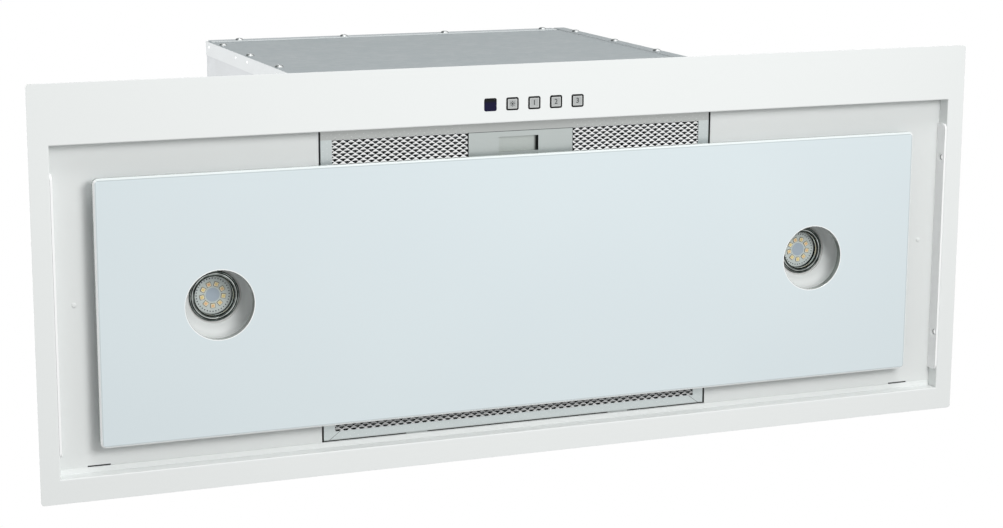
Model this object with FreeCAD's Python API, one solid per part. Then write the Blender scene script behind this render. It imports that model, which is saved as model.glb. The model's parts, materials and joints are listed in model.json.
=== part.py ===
import FreeCAD, Part
import math
import os

# Built-in range hood, in millimetres. X runs along the fascia, -Y is the cook's side and +Z is up.
# The origin is the centre of the plane in which the fascia's flange seats against the cabinet: its visible
# face looks down, at Z = -SHEET. The motor housing stands above it.

os.makedirs("parts", exist_ok=True)
V = FreeCAD.Vector
X_AXIS = V(1, 0, 0)
Y_AXIS = V(0, 1, 0)
Z_AXIS = V(0, 0, 1)

# ---- fascia ----
FASCIA_WIDTH = 900.0
FASCIA_DEPTH = 360.0
SHEET = 1.0
SIDE_BAND = 17.35
FRONT_BAND = 52.0
REAR_BAND = 21.6
RECESS_DEPTH = 14.0
FASCIA_CORNER_R = 3.0
BEND_R = 1.2
EDGE_R = 0.3
REAR_LIP_WIDTH = 4.7
CORNER_SLIT = 1.2
STIFFENER_INSET = 2.0
STIFFENER_T = 1.0

# ---- side plates and the fixing holes into the cabinet's sides ----
SIDE_PLATE_T = 1.8
SIDE_PLATE_FRONT = 24.0
SIDE_PLATE_REAR = 18.4
SIDE_PLATE_INSET = 0.3
SIDE_PLATE_R = 5.0
FIXING_R = 2.25
FIXING_DISH_R = 4.2
FIXING_FROM_FRONT = 57.0
FIXING_FROM_REAR = 55.4
FIXING_BELOW_FLOOR = 7.0

# ---- carrier plate: the floor of the recess ----
CARRIER_T = 1.0
TAB_SLOT_LENGTH = 20.2
TAB_SLOT_WIDTH = 1.2
TAB_SLOT_FROM_SIDE = 36.0
RIVET_HEAD_R = 2.3
RIVET_HEAD_H = 0.8
RIVET_SHANK_R = 1.2
RIVET_FROM_SIDE = 19.0
RIVET_FROM_FRONT = 138.8

# ---- motor housing ----
SUCTION_OFFSET_X = -6.2
HOUSING_WIDTH = 392.7
HOUSING_HEIGHT = 374.0
HOUSING_FRONT_INSET = 10.1
HOUSING_SHEET = 0.8
PANEL_RETURN = 14.0
PANEL_HEM = 12.0
WRAPPER_FLANGE = 12.0
FOOT_FLANGE = 9.0
TOP_FLANGE = 10.0
RIM_HEIGHT = 14.0
RIM_NOTCH = 2.5
RIM_NOTCH_DEPTH = 8.0
SCREW_HEAD_R = 4.0
SCREW_HEAD_H = 2.2
SCREW_SHANK_R = 1.6
SCREW_SHANK_LENGTH = 6.0
SCREW_CLEARANCE = 0.1
TOP_SCREWS = 4
TOP_SCREW_FROM_LEFT = 32.3
TOP_SCREW_PITCH = 110.5
TOP_SCREW_FROM_EDGE = 9.0
SIDE_SCREWS = 3
SIDE_SCREW_PITCH = 98.5
SIDE_SCREW_FROM_TOP = 45.0
SIDE_SCREW_FROM_EDGE = 6.0
WIRING_SPACE = 36.0
WALL_SEAT_GAP = 0.2

# ---- grease filter ----
FILTER_SIDE_INSET = 7.85
FILTER_HEIGHT = 9.0
FILTER_SHEET = 0.8
FILTER_SIDE_RAIL = 10.5
FILTER_FRONT_RAIL = 8.0
FILTER_REAR_RAIL = 8.0
FILTER_FROM_WALL = 1.5
FILTER_FROM_REAR_WALL = 5.9
FILTER_SIDE_GAP = 1.75
FILTER_FRONT_GAP = 0.5
FILTER_REAR_GAP = 1.0
MESH_T = 0.6
MESH_GAP = 0.2
FILTER_EDGE_R = 0.5
FILTER_TAB_WIDTH = 20.0
FILTER_TAB_REACH = 3.6
FILTER_TAB_T = 1.0
FILTER_TAB_OUT = 100.0
TAB_CLEARANCE = 0.2
SEAT_T = 0.8
SEAT_OVERLAP = 7.0

# ---- the filter's handle plate and sprung pull ----
HANDLE_WIDTH = 101.0
HANDLE_DEPTH = 46.0
HANDLE_SHEET = 1.0
POCKET_WIDTH = 38.2
POCKET_DEPTH = 13.7
POCKET_FROM_RAIL = 5.2
POCKET_OFFSET_X = -2.2
PULL_RECESS = 4.0
PULL_T = 1.4
PULL_LAP = 1.5
PULL_SIDE_GAP = 0.4
LATCH_TRAVEL = 4.0
BOLT_WIDTH = 16.0
BOLT_T = 1.4
BOLT_LIFT = 0.4
BOLT_ENGAGEMENT = 2.2
BOLT_CLEARANCE = 0.25

# ---- glass panel ----
GLASS_SIDE_GAP = 36.3
GLASS_OFFSET_X = -1.2
GLASS_FRONT_GAP = 29.4
GLASS_REAR_GAP = 23.6
GLASS_T = 6.0
GLASS_PROUD = 0.8
GLASS_CORNER_R = 5.0
GLASS_BEVEL = 1.5
GLASS_BACK_BEVEL = 0.5
GLASS_HOLE_R = 30.4
GLASS_HOLE_BACK = 2.9
HOLE_BEVEL = 0.4

# ---- steel back of the glass panel and its hinges ----
TAPE_T = 0.8
TAPE_WIDTH = 20.0
TRAY_T = 1.0
TRAY_SIDE_INSET = 41.0
TRAY_FRONT_INSET = 12.6
TRAY_TO_HINGE = 6.0
TRAY_HOLE_CLEARANCE = 2.5
HINGE_FROM_TRAY_SIDE = 123.35
HINGE_FROM_GLASS_REAR = 3.8
HINGE_UNDER_FLOOR = 5.0
HINGE_PIN_R = 1.5
HINGE_EAR_R = 3.2
HINGE_EAR_T = 1.5
HINGE_WIDTH = 24.0
HINGE_BASE_T = 1.2
HINGE_BASE_FRONT = 19.0
HINGE_SIDE_GAP = 0.3
RUNNING_CLEARANCE = 0.05
FIXED_CLEARANCE = 0.02
PIN_HEAD_R = 2.6
PIN_HEAD_T = 1.0
ARM_LENGTH = 36.0
ARM_T = 1.5
MAGNET_LENGTH = 30.0
MAGNET_DEPTH = 12.0
MAGNET_FROM_TRAY_SIDE = 20.35
MAGNET_INSET = 2.0
MAGNET_GAP = 0.4

# ---- lamps ----
LAMP_FROM_GLASS_SIDE = 106.85
LAMP_FROM_FRONT_WALL = 142.3
CUP_R = 35.0
CUP_T = 1.0
CUP_RIM_GAP = 0.5
CUP_FLOOR_ABOVE_RECESS = 9.5
CUP_BEND_R = 8.0
CUP_HOLE_R = 24.2
CUP_FLANGE = 5.0
CUP_CARRIER_GAP = 0.3
RING_R = 22.5
RING_INNER_R = 17.2
RING_T = 8.0
RING_STEPS = 3
RING_STEP_DEPTH = 1.6
RING_PROUD = 0.5
BOARD_R = 17.0
BOARD_T = 1.0
BOARD_RECESSED = 6.6
LED_COUNT = 9
LED_SIZE = 4.4
LED_T = 0.6
LED_CIRCLE_R = 9.75
LAMP_RIM_R = 26.0
LAMP_RIM_T = 8.5
LAMP_NECK_R = 13.0
LAMP_LENGTH = 50.0
LAMP_FIN_COUNT = 16
LAMP_FIN_T = 1.4
LAMP_FIN_MARGIN = 1.0
SOCKET_R = 14.0
SOCKET_LENGTH = 20.0

# ---- controls ----
CONTROL_X = 0.7
CONTROL_FROM_EDGE = 35.35
CONTROL_PITCH = 21.05
CONTROL_HOLE_WIDTH = 12.0
CONTROL_HOLE_DEPTH = 11.7
CONTROL_HOLE_R = 1.8
BEZEL_GAP = 0.1
BEZEL_WALL = 0.8
SENSOR_EYE_INSET = 3.0
BUTTON_GAP = 0.3
BUTTON_PROUD = 0.3
BUTTON_DISH_R = 30.0
BUTTON_DISH = 0.25
BUTTON_FLANGE = 0.9
BUTTON_FLANGE_T = 1.0
BUTTON_SEAT_GAP = 0.1
BUTTON_STEM = 3.0
BUTTON_TRAVEL = 1.0
SWITCH_SIZE = 6.0
SWITCH_GAP = 0.3
SWITCH_T = 2.1
KEYPAD_FACE_T = 1.0
KEYPAD_WALL = 1.5
KEYPAD_MARGIN = 6.0
BOARD_SIDE_GAP = 0.4
PCB_T = 1.6
KEYPAD_POST_R = 2.0
KEYPAD_ROOF_GAP = 0.4

# ---- blower ----
WHEEL_R = 70.0
WHEEL_WIDTH = 120.0
WHEEL_BLADES = 30
BLADE_T = 1.2
BLADE_DEPTH = 14.0
BLADE_LEAN = 30.0
WHEEL_RING_T = 3.0
WHEEL_DISC_T = 2.0
HUB_R = 12.0
HUB_LENGTH = 30.0
SHAFT_R = 4.0
SCROLL_START_R = 82.0
SCROLL_STEP = 12.0
SCROLL_WALL = 2.0
SCROLL_WIDTH = 146.0
SCROLL_INLET_R = 58.0
SCROLL_FROM_WALL = 108.0
SCROLL_AXIS_Z = 190.0
THROAT_WIDTH = 108.0
MOTOR_R = 42.0
MOTOR_LENGTH = 62.0
MOTOR_GAP = 12.0
MOTOR_EDGE_R = 4.0
SPIDER_RING = 5.0
SPIDER_T = 4.0
SPIDER_ARM_WIDTH = 10.0
SPIDER_ARMS = 3
SPIDER_FIT = 0.05

# ---- outlet ----
COLLAR_R = 74.5
COLLAR_T = 1.2
COLLAR_HEIGHT = 60.0
COLLAR_FLANGE = 13.0
COLLAR_FLANGE_T = 2.0
LEDGE_WIDTH = 3.4
LEDGE_T = 2.0
FLAP_AXIS_ABOVE_TOP = 7.0
FLAP_PIN_OFFSET = 3.0
FLAP_T = 1.2
FLAP_RIM_GAP = 1.0
FLAP_KNUCKLE_R = 2.8
FLAP_KNUCKLE_HALF = 64.0
FLAP_LEDGE_GAP = 0.1

# ---- wiring ----
CASE_CORNER_R = 2.0
MODULE_SIZE = (120.0, 26.0, 80.0)
MODULE_FROM_RIGHT = 96.35
CAPACITOR_SIZE = (58.0, 22.0, 34.0)
CAPACITOR_FROM_LEFT = 76.35
GLAND_R = 9.0
GLAND_BORE_R = 4.0
GLAND_BELOW = 6.0
GLAND_ABOVE = 16.0
GLAND_NUT_R = 12.0
GLAND_NUT_T = 5.0
GLAND_FROM_RIGHT = 46.35
GLAND_THREAD_CLEARANCE = 0.1

# ---- places worked out from the sizes above ----
FACE_Z = -SHEET
FLOOR_Z = RECESS_DEPTH - SHEET
CARRIER_TOP = FLOOR_Z + CARRIER_T
FASCIA_X = FASCIA_WIDTH / 2
FASCIA_FRONT = -FASCIA_DEPTH / 2
FASCIA_REAR = FASCIA_DEPTH / 2
RECESS_X = FASCIA_X - SIDE_BAND
RECESS_FRONT = FASCIA_FRONT + FRONT_BAND
RECESS_REAR = FASCIA_REAR - REAR_BAND
WALL_X = RECESS_X + SHEET
WALL_FRONT = RECESS_FRONT - SHEET
WALL_REAR = RECESS_REAR + SHEET

HOUSING_LEFT = SUCTION_OFFSET_X - HOUSING_WIDTH / 2
HOUSING_RIGHT = SUCTION_OFFSET_X + HOUSING_WIDTH / 2
HOUSING_FRONT = FASCIA_FRONT + HOUSING_FRONT_INSET
HOUSING_REAR = RECESS_REAR
HOUSING_TOP = HOUSING_HEIGHT - SHEET
PANEL_BACK = HOUSING_FRONT + HOUSING_SHEET
WRAPPER_LEFT = HOUSING_LEFT + HOUSING_SHEET
WRAPPER_RIGHT = HOUSING_RIGHT - HOUSING_SHEET
INNER_LEFT = WRAPPER_LEFT + HOUSING_SHEET
INNER_RIGHT = WRAPPER_RIGHT - HOUSING_SHEET
INNER_REAR = HOUSING_REAR - HOUSING_SHEET
ROOF_Z = HOUSING_TOP - HOUSING_SHEET
RIM_LEFT = HOUSING_LEFT + RIM_NOTCH
RIM_RIGHT = HOUSING_RIGHT - PANEL_HEM - RIM_NOTCH
RIM_FRONT = HOUSING_FRONT - HOUSING_SHEET
PARTITION_Y = HOUSING_FRONT + WIRING_SPACE

FILTER_LEFT = HOUSING_LEFT + FILTER_SIDE_INSET
FILTER_RIGHT = HOUSING_RIGHT - FILTER_SIDE_INSET
FILTER_FRONT = RECESS_FRONT + FILTER_FROM_WALL
FILTER_REAR = RECESS_REAR - FILTER_FROM_REAR_WALL
FILTER_TOP = FLOOR_Z + FILTER_HEIGHT
POCKET_X = SUCTION_OFFSET_X + POCKET_OFFSET_X
WINDOW_LEFT = FILTER_LEFT + FILTER_SIDE_RAIL
WINDOW_RIGHT = FILTER_RIGHT - FILTER_SIDE_RAIL
WINDOW_FRONT = FILTER_FRONT + FILTER_FRONT_RAIL
WINDOW_REAR = FILTER_REAR - FILTER_REAR_RAIL
OPENING_FRONT = FILTER_FRONT - FILTER_FRONT_GAP
POCKET_FRONT = WINDOW_FRONT + POCKET_FROM_RAIL
POCKET_REAR = POCKET_FRONT + POCKET_DEPTH
PULL_FRONT = POCKET_FRONT - PULL_LAP
PULL_REAR = POCKET_REAR + PULL_LAP

GLASS_FACE = FACE_Z - GLASS_PROUD
GLASS_BACK = GLASS_FACE + GLASS_T
GLASS_X = RECESS_X - GLASS_SIDE_GAP
GLASS_FRONT = RECESS_FRONT + GLASS_FRONT_GAP
GLASS_REAR = RECESS_REAR - GLASS_REAR_GAP
TRAY_BOTTOM = GLASS_BACK + TAPE_T
TRAY_TOP = TRAY_BOTTOM + TRAY_T
TRAY_X = GLASS_X - TRAY_SIDE_INSET
TRAY_FRONT = GLASS_FRONT + TRAY_FRONT_INSET
HINGE_Y = GLASS_REAR - HINGE_FROM_GLASS_REAR
HINGE_Z = FLOOR_Z - HINGE_UNDER_FLOOR
TRAY_REAR = HINGE_Y - TRAY_TO_HINGE
HINGE_X = TRAY_X - HINGE_FROM_TRAY_SIDE
MAGNET_X = TRAY_X - MAGNET_FROM_TRAY_SIDE

LAMP_X = GLASS_X - LAMP_FROM_GLASS_SIDE
LAMP_Y = RECESS_FRONT + LAMP_FROM_FRONT_WALL
CUP_RIM = GLASS_BACK + CUP_RIM_GAP
CUP_FLOOR = FLOOR_Z + CUP_FLOOR_ABOVE_RECESS
CUP_TOP = CUP_FLOOR + CUP_T
RING_FACE = CUP_FLOOR - RING_PROUD
BOARD_FACE = RING_FACE + BOARD_RECESSED
BOARD_BACK = BOARD_FACE + BOARD_T
LAMP_END = CUP_TOP + LAMP_LENGTH

CONTROL_Y = FASCIA_FRONT + CONTROL_FROM_EDGE
BEZEL_INSET = BEZEL_GAP + BEZEL_WALL
BUTTON_FACE = FACE_Z - BUTTON_PROUD
KEYPAD_FACE_TOP = STIFFENER_T + KEYPAD_FACE_T
FLANGE_Z = KEYPAD_FACE_TOP + BUTTON_SEAT_GAP
STEM_TOP = KEYPAD_FACE_TOP + BUTTON_STEM
SWITCH_Z = STEM_TOP + BUTTON_TRAVEL + SWITCH_GAP
PCB_Z = SWITCH_Z + SWITCH_T
KEYPAD_TOP = FLOOR_Z - KEYPAD_ROOF_GAP

SCROLL_Y = PARTITION_Y + SCROLL_FROM_WALL
SCROLL_END_R = SCROLL_START_R + 3 * SCROLL_STEP
THROAT_REAR = SCROLL_Y + SCROLL_END_R
THROAT_FRONT = THROAT_REAR - THROAT_WIDTH
OUTLET_Y = (THROAT_FRONT + THROAT_REAR) / 2
SCROLL_X0 = SUCTION_OFFSET_X - SCROLL_WIDTH / 2
SCROLL_X1 = SUCTION_OFFSET_X + SCROLL_WIDTH / 2
MOTOR_X = SCROLL_X1 + MOTOR_GAP
COLLAR_BORE = COLLAR_R - COLLAR_T
FLAP_Z = HOUSING_TOP + FLAP_AXIS_ABOVE_TOP
GLAND_Y = (PANEL_BACK + PARTITION_Y) / 2
GLAND_X = HOUSING_RIGHT - GLAND_FROM_RIGHT


# ---- small helpers ----
def block(x0, x1, y0, y1, z0, z1):
    return Part.makeBox(x1 - x0, y1 - y0, z1 - z0, V(x0, y0, z0))


def round_bar(radius, x, y, z, length, axis=Z_AXIS):
    return Part.makeCylinder(radius, length, V(x, y, z), axis)


def upright_edges(shape):
    """The straight edges that run along Z."""
    found = []
    for edge in shape.Edges:
        a, b = edge.Vertexes[0].Point, edge.Vertexes[-1].Point
        if abs(a.x - b.x) < 1e-6 and abs(a.y - b.y) < 1e-6 and abs(a.z - b.z) > 1e-6:
            found.append(edge)
    return found


def level_edges(shape, z, x_limit=None, y_low=None, y_high=None):
    """The edges that lie at height z, within x_limit and between y_low and y_high where those are given."""
    found = []
    for edge in shape.Edges:
        box = edge.BoundBox
        if abs(box.ZMin - z) > 1e-4 or abs(box.ZMax - z) > 1e-4:
            continue
        if x_limit is not None and max(abs(box.XMin), abs(box.XMax)) > x_limit + 1e-4:
            continue
        if y_low is not None and (box.YMin < y_low - 1e-4 or box.YMax > y_high + 1e-4):
            continue
        found.append(edge)
    return found


def rounded_block(x0, x1, y0, y1, z0, z1, radius):
    plain = block(x0, x1, y0, y1, z0, z1)
    return plain.makeFillet(radius, upright_edges(plain))


def turned(points, x, y):
    """A solid turned about a vertical axis at x, y from (radius, height) points."""
    outline = [V(r, 0, z) for r, z in points]
    face = Part.Face(Part.makePolygon(outline + outline[:1]))
    solid = face.revolve(V(0, 0, 0), Z_AXIS, 360)
    solid.translate(V(x, y, 0))
    return solid


def joined(shapes):
    """One body from shapes that touch or overlap."""
    whole = shapes[0].fuse(shapes[1:]) if len(shapes) > 1 else shapes[0]
    return whole.removeSplitter()


def group(shapes):
    """Separate solids that share one node."""
    return Part.makeCompound([solid for shape in shapes for solid in shape.Solids])


def save(node, shape):
    bad = [s for s in shape.Solids if not s.isValid() or s.Volume <= 0]
    shape.exportStep(f"parts/{node}.step")
    print(f"{node}: {len(shape.Solids)} solid(s), {shape.Volume / 1000:.2f} cm3", "BAD" if bad else "")


# ---- fascia ----
def control_places():
    """The sensor window's X and the four buttons', from left to right."""
    return [CONTROL_X + (i - 2) * CONTROL_PITCH for i in range(5)]


def control_shape(x, inset, z0, z1):
    """The outline of a control hole at x, drawn in by inset all round, as a solid from z0 to z1."""
    half_x, half_y = CONTROL_HOLE_WIDTH / 2 - inset, CONTROL_HOLE_DEPTH / 2 - inset
    return rounded_block(x - half_x, x + half_x, CONTROL_Y - half_y, CONTROL_Y + half_y, z0, z1,
                         CONTROL_HOLE_R - inset / 2)


def fixing_places():
    """(Y, Z) of the fixing holes in each side wall."""
    height = FLOOR_Z - FIXING_BELOW_FLOOR
    return [(RECESS_FRONT + FIXING_FROM_FRONT, height), (RECESS_REAR - FIXING_FROM_REAR, height)]


def fascia_frame():
    flange = rounded_block(-FASCIA_X, FASCIA_X, FASCIA_FRONT, FASCIA_REAR, FACE_Z, 0, FASCIA_CORNER_R)
    walls = block(-WALL_X, WALL_X, WALL_FRONT, WALL_REAR, FACE_Z, FLOOR_Z)
    stiffener = block(-WALL_X, WALL_X, FASCIA_FRONT + STIFFENER_INSET, WALL_FRONT, 0, STIFFENER_T)
    body = joined([flange, walls, stiffener])
    body = body.cut(block(-RECESS_X, RECESS_X, RECESS_FRONT, RECESS_REAR, FACE_Z, FLOOR_Z))
    inner = level_edges(body, FACE_Z, RECESS_X, RECESS_FRONT, RECESS_REAR)
    body = body.makeFillet(BEND_R, inner)
    rim = [e for e in level_edges(body, FACE_Z) if abs(e.BoundBox.Center.x) > WALL_X
           or not WALL_FRONT < e.BoundBox.Center.y < WALL_REAR]
    body = body.makeFillet(EDGE_R, rim)
    lip = block(-RECESS_X, RECESS_X, RECESS_REAR - REAR_LIP_WIDTH, RECESS_REAR, FLOOR_Z - SHEET, FLOOR_Z)
    body = joined([body, lip])
    cuts = []
    for side in (-1, 1):
        edge = side * RECESS_X
        x0, x1 = sorted((edge, edge - side * CORNER_SLIT))
        cuts.append(block(x0, x1, RECESS_REAR - REAR_LIP_WIDTH, WALL_REAR, 0, FLOOR_Z))
        for y, z in fixing_places():
            cuts.append(round_bar(FIXING_R, min(edge, edge + side * SHEET), y, z, SHEET, X_AXIS))
    cuts += [control_shape(x, 0, FACE_Z, STIFFENER_T) for x in control_places()]
    return body.cut(cuts)


def side_plate(side):
    inner, outer = RECESS_X - SIDE_PLATE_T, RECESS_X
    x0, x1 = sorted((side * inner, side * outer))
    front, rear = RECESS_FRONT + SIDE_PLATE_FRONT, RECESS_REAR - SIDE_PLATE_REAR
    plate = block(x0, x1, front, rear, FACE_Z + SIDE_PLATE_INSET, FLOOR_Z)
    low = [e for e in plate.Edges if abs(e.BoundBox.XLength - SIDE_PLATE_T) < 1e-6
           and abs(e.BoundBox.ZMax - plate.BoundBox.ZMin) < 1e-6]
    plate = plate.makeFillet(SIDE_PLATE_R, low)
    for y, z in fixing_places():
        hole = round_bar(FIXING_R, x0, y, z, SIDE_PLATE_T, X_AXIS)
        dish = Part.makeCone(FIXING_DISH_R, FIXING_R, SIDE_PLATE_T, V(side * inner, y, z), V(side, 0, 0))
        plate = plate.cut([hole, dish])
    return plate


# ---- carrier plate ----
def lamp_centres():
    return [(-LAMP_X, LAMP_Y), (LAMP_X, LAMP_Y)]


def rivet_places():
    return [(side * (RECESS_X - RIVET_FROM_SIDE), RECESS_FRONT + RIVET_FROM_FRONT) for side in (-1, 1)]


def carrier_plate():
    main = block(-WALL_X, WALL_X, WALL_FRONT, WALL_REAR, FLOOR_Z, CARRIER_TOP)
    tongue = block(HOUSING_LEFT, HOUSING_RIGHT, HOUSING_FRONT, WALL_FRONT, FLOOR_Z, CARRIER_TOP)
    plate = joined([main, tongue])
    cuts = [block(FILTER_LEFT - FILTER_SIDE_GAP, FILTER_RIGHT + FILTER_SIDE_GAP,
                  OPENING_FRONT, FILTER_REAR + FILTER_REAR_GAP, FLOOR_Z, CARRIER_TOP)]
    for x, y in lamp_centres():
        cuts.append(round_bar(CUP_R + CUP_T + CUP_CARRIER_GAP, x, y, FLOOR_Z, CARRIER_T))
    for x, y in rivet_places():
        cuts.append(round_bar(RIVET_SHANK_R + FIXED_CLEARANCE, x, y, FLOOR_Z, CARRIER_T))
    for side in (-1, 1):
        middle = side * (RECESS_X - TAB_SLOT_FROM_SIDE)
        rear = RECESS_REAR - REAR_LIP_WIDTH
        cuts.append(block(middle - TAB_SLOT_LENGTH / 2, middle + TAB_SLOT_LENGTH / 2,
                          rear - TAB_SLOT_WIDTH, rear, FLOOR_Z, CARRIER_TOP))
    return plate.cut(cuts)


def floor_rivets():
    rivets = []
    for x, y in rivet_places():
        head = turned([(0, FLOOR_Z - RIVET_HEAD_H), (RIVET_HEAD_R * 0.6, FLOOR_Z - RIVET_HEAD_H * 0.8),
                       (RIVET_HEAD_R, FLOOR_Z), (0, FLOOR_Z)], x, y)
        shank = round_bar(RIVET_SHANK_R, x, y, FLOOR_Z, CARRIER_T)
        tail = round_bar(RIVET_HEAD_R * 0.8, x, y, CARRIER_TOP, RIVET_HEAD_H)
        rivets.append(joined([head, shank, tail]))
    return group(rivets)


# ---- motor housing ----
def screw_places():
    """(X, Z, Y of the seat) of the screws in the front panel: one row along its top, one down each side."""
    first, row_z = HOUSING_LEFT + TOP_SCREW_FROM_LEFT, HOUSING_TOP - TOP_SCREW_FROM_EDGE
    top = [(first + i * TOP_SCREW_PITCH, row_z, RIM_FRONT) for i in range(TOP_SCREWS)]
    left, right = HOUSING_LEFT + SIDE_SCREW_FROM_EDGE, HOUSING_RIGHT - SIDE_SCREW_FROM_EDGE
    heights = [HOUSING_TOP - SIDE_SCREW_FROM_TOP - i * SIDE_SCREW_PITCH for i in range(SIDE_SCREWS)]
    down_left = [(left, z, HOUSING_FRONT) for z in heights]
    down_right = [(right, z, HOUSING_FRONT - HOUSING_SHEET) for z in heights]
    return top + down_left + down_right


def screw_holes():
    radius = SCREW_SHANK_R + SCREW_CLEARANCE
    return [round_bar(radius, x, y, z, SCREW_SHANK_LENGTH, Y_AXIS) for x, z, y in screw_places()]


def housing_screws():
    screws = []
    for x, z, y in screw_places():
        ball_r = (SCREW_HEAD_R ** 2 + SCREW_HEAD_H ** 2) / (2 * SCREW_HEAD_H)
        ball = Part.makeSphere(ball_r, V(x, y - SCREW_HEAD_H + ball_r, z))
        head = ball.common(round_bar(SCREW_HEAD_R, x, y - SCREW_HEAD_H, z, SCREW_HEAD_H, Y_AXIS))
        shank = round_bar(SCREW_SHANK_R, x, y, z, SCREW_SHANK_LENGTH, Y_AXIS)
        screws.append(joined([head, shank]))
    return group(screws)


def housing_wrapper():
    walls = [
        block(WRAPPER_LEFT, INNER_LEFT, PANEL_BACK, HOUSING_REAR, CARRIER_TOP, ROOF_Z),
        block(INNER_RIGHT, WRAPPER_RIGHT, PANEL_BACK, HOUSING_REAR, CARRIER_TOP, ROOF_Z),
        block(WRAPPER_LEFT, WRAPPER_RIGHT, INNER_REAR, HOUSING_REAR, CARRIER_TOP, ROOF_Z),
        block(WRAPPER_LEFT, WRAPPER_LEFT + WRAPPER_FLANGE, PANEL_BACK, PANEL_BACK + HOUSING_SHEET,
              CARRIER_TOP, ROOF_Z - TOP_FLANGE - HOUSING_SHEET),
        block(WRAPPER_RIGHT - WRAPPER_FLANGE, WRAPPER_RIGHT, PANEL_BACK, PANEL_BACK + HOUSING_SHEET,
              CARRIER_TOP, ROOF_Z - TOP_FLANGE - HOUSING_SHEET),
        block(WRAPPER_LEFT - FOOT_FLANGE, WRAPPER_LEFT, RECESS_FRONT, RECESS_REAR, CARRIER_TOP,
              CARRIER_TOP + HOUSING_SHEET),
        block(WRAPPER_RIGHT, WRAPPER_RIGHT + FOOT_FLANGE, RECESS_FRONT, RECESS_REAR, CARRIER_TOP,
              CARRIER_TOP + HOUSING_SHEET),
    ]
    return joined(walls).cut(screw_holes())


def housing_front_panel():
    """The face, a return down each side, a hem along the right edge, and room for the top panel's rim."""
    face = block(HOUSING_LEFT, HOUSING_RIGHT, HOUSING_FRONT, PANEL_BACK, CARRIER_TOP, HOUSING_TOP)
    rear = HOUSING_FRONT + PANEL_RETURN
    left = block(HOUSING_LEFT, WRAPPER_LEFT, HOUSING_FRONT, rear, CARRIER_TOP, HOUSING_TOP)
    right = block(WRAPPER_RIGHT, HOUSING_RIGHT, HOUSING_FRONT, rear, CARRIER_TOP, HOUSING_TOP)
    hem = block(HOUSING_RIGHT - PANEL_HEM, HOUSING_RIGHT, HOUSING_FRONT - HOUSING_SHEET, HOUSING_FRONT,
                CARRIER_TOP, HOUSING_TOP)
    panel = joined([face, left, right, hem])
    notch_low = HOUSING_TOP - RIM_NOTCH_DEPTH
    cuts = [
        block(RIM_LEFT, RIM_RIGHT, HOUSING_FRONT, PANEL_BACK, ROOF_Z, HOUSING_TOP),
        block(WRAPPER_LEFT, RIM_LEFT, HOUSING_FRONT, PANEL_BACK, notch_low, HOUSING_TOP),
        block(RIM_RIGHT, RIM_RIGHT + RIM_NOTCH, HOUSING_FRONT, PANEL_BACK, notch_low, HOUSING_TOP),
    ]
    return panel.cut(screw_holes() + cuts)


def housing_top_panel():
    """The roof: its front edge folds down over the front panel, the others fold down inside the wrapper."""
    low = ROOF_Z - TOP_FLANGE
    sheets = [
        block(WRAPPER_LEFT, WRAPPER_RIGHT, PANEL_BACK, HOUSING_REAR, ROOF_Z, HOUSING_TOP),
        block(RIM_LEFT, RIM_RIGHT, RIM_FRONT, PANEL_BACK, ROOF_Z, HOUSING_TOP),
        block(RIM_LEFT, RIM_RIGHT, RIM_FRONT, HOUSING_FRONT, HOUSING_TOP - RIM_HEIGHT, HOUSING_TOP),
        block(INNER_LEFT, INNER_RIGHT, INNER_REAR - HOUSING_SHEET, INNER_REAR, low, ROOF_Z),
        block(INNER_LEFT, INNER_LEFT + HOUSING_SHEET, PANEL_BACK, INNER_REAR, low, ROOF_Z),
        block(INNER_RIGHT - HOUSING_SHEET, INNER_RIGHT, PANEL_BACK, INNER_REAR, low, ROOF_Z),
    ]
    throat = block(SCROLL_X0 + SCROLL_WALL, SCROLL_X1 - SCROLL_WALL, THROAT_FRONT + SCROLL_WALL,
                   THROAT_REAR - SCROLL_WALL, ROOF_Z, HOUSING_TOP)
    cuts = [
        round_bar(COLLAR_BORE, SUCTION_OFFSET_X, OUTLET_Y, ROOF_Z, HOUSING_SHEET).common(throat),
        round_bar(GLAND_R + GLAND_THREAD_CLEARANCE, GLAND_X, GLAND_Y, ROOF_Z, HOUSING_SHEET),
    ]
    return joined(sheets).cut(cuts + screw_holes())


def compartment_wall():
    side_gap = HOUSING_SHEET + WALL_SEAT_GAP
    return block(INNER_LEFT + side_gap, INNER_RIGHT - side_gap, PARTITION_Y, PARTITION_Y + HOUSING_SHEET,
                 CARRIER_TOP, ROOF_Z)


# ---- grease filter ----
def bolt_z():
    return CARRIER_TOP + BOLT_LIFT


def bolt_slot():
    """The room that the latch's bolt slides in, through the filter's front wall and the handle plate."""
    half = BOLT_WIDTH / 2 + BOLT_CLEARANCE
    return block(POCKET_X - half, POCKET_X + half, FILTER_FRONT, PULL_FRONT,
                 bolt_z() - BOLT_CLEARANCE, bolt_z() + BOLT_T + BOLT_CLEARANCE)


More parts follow.
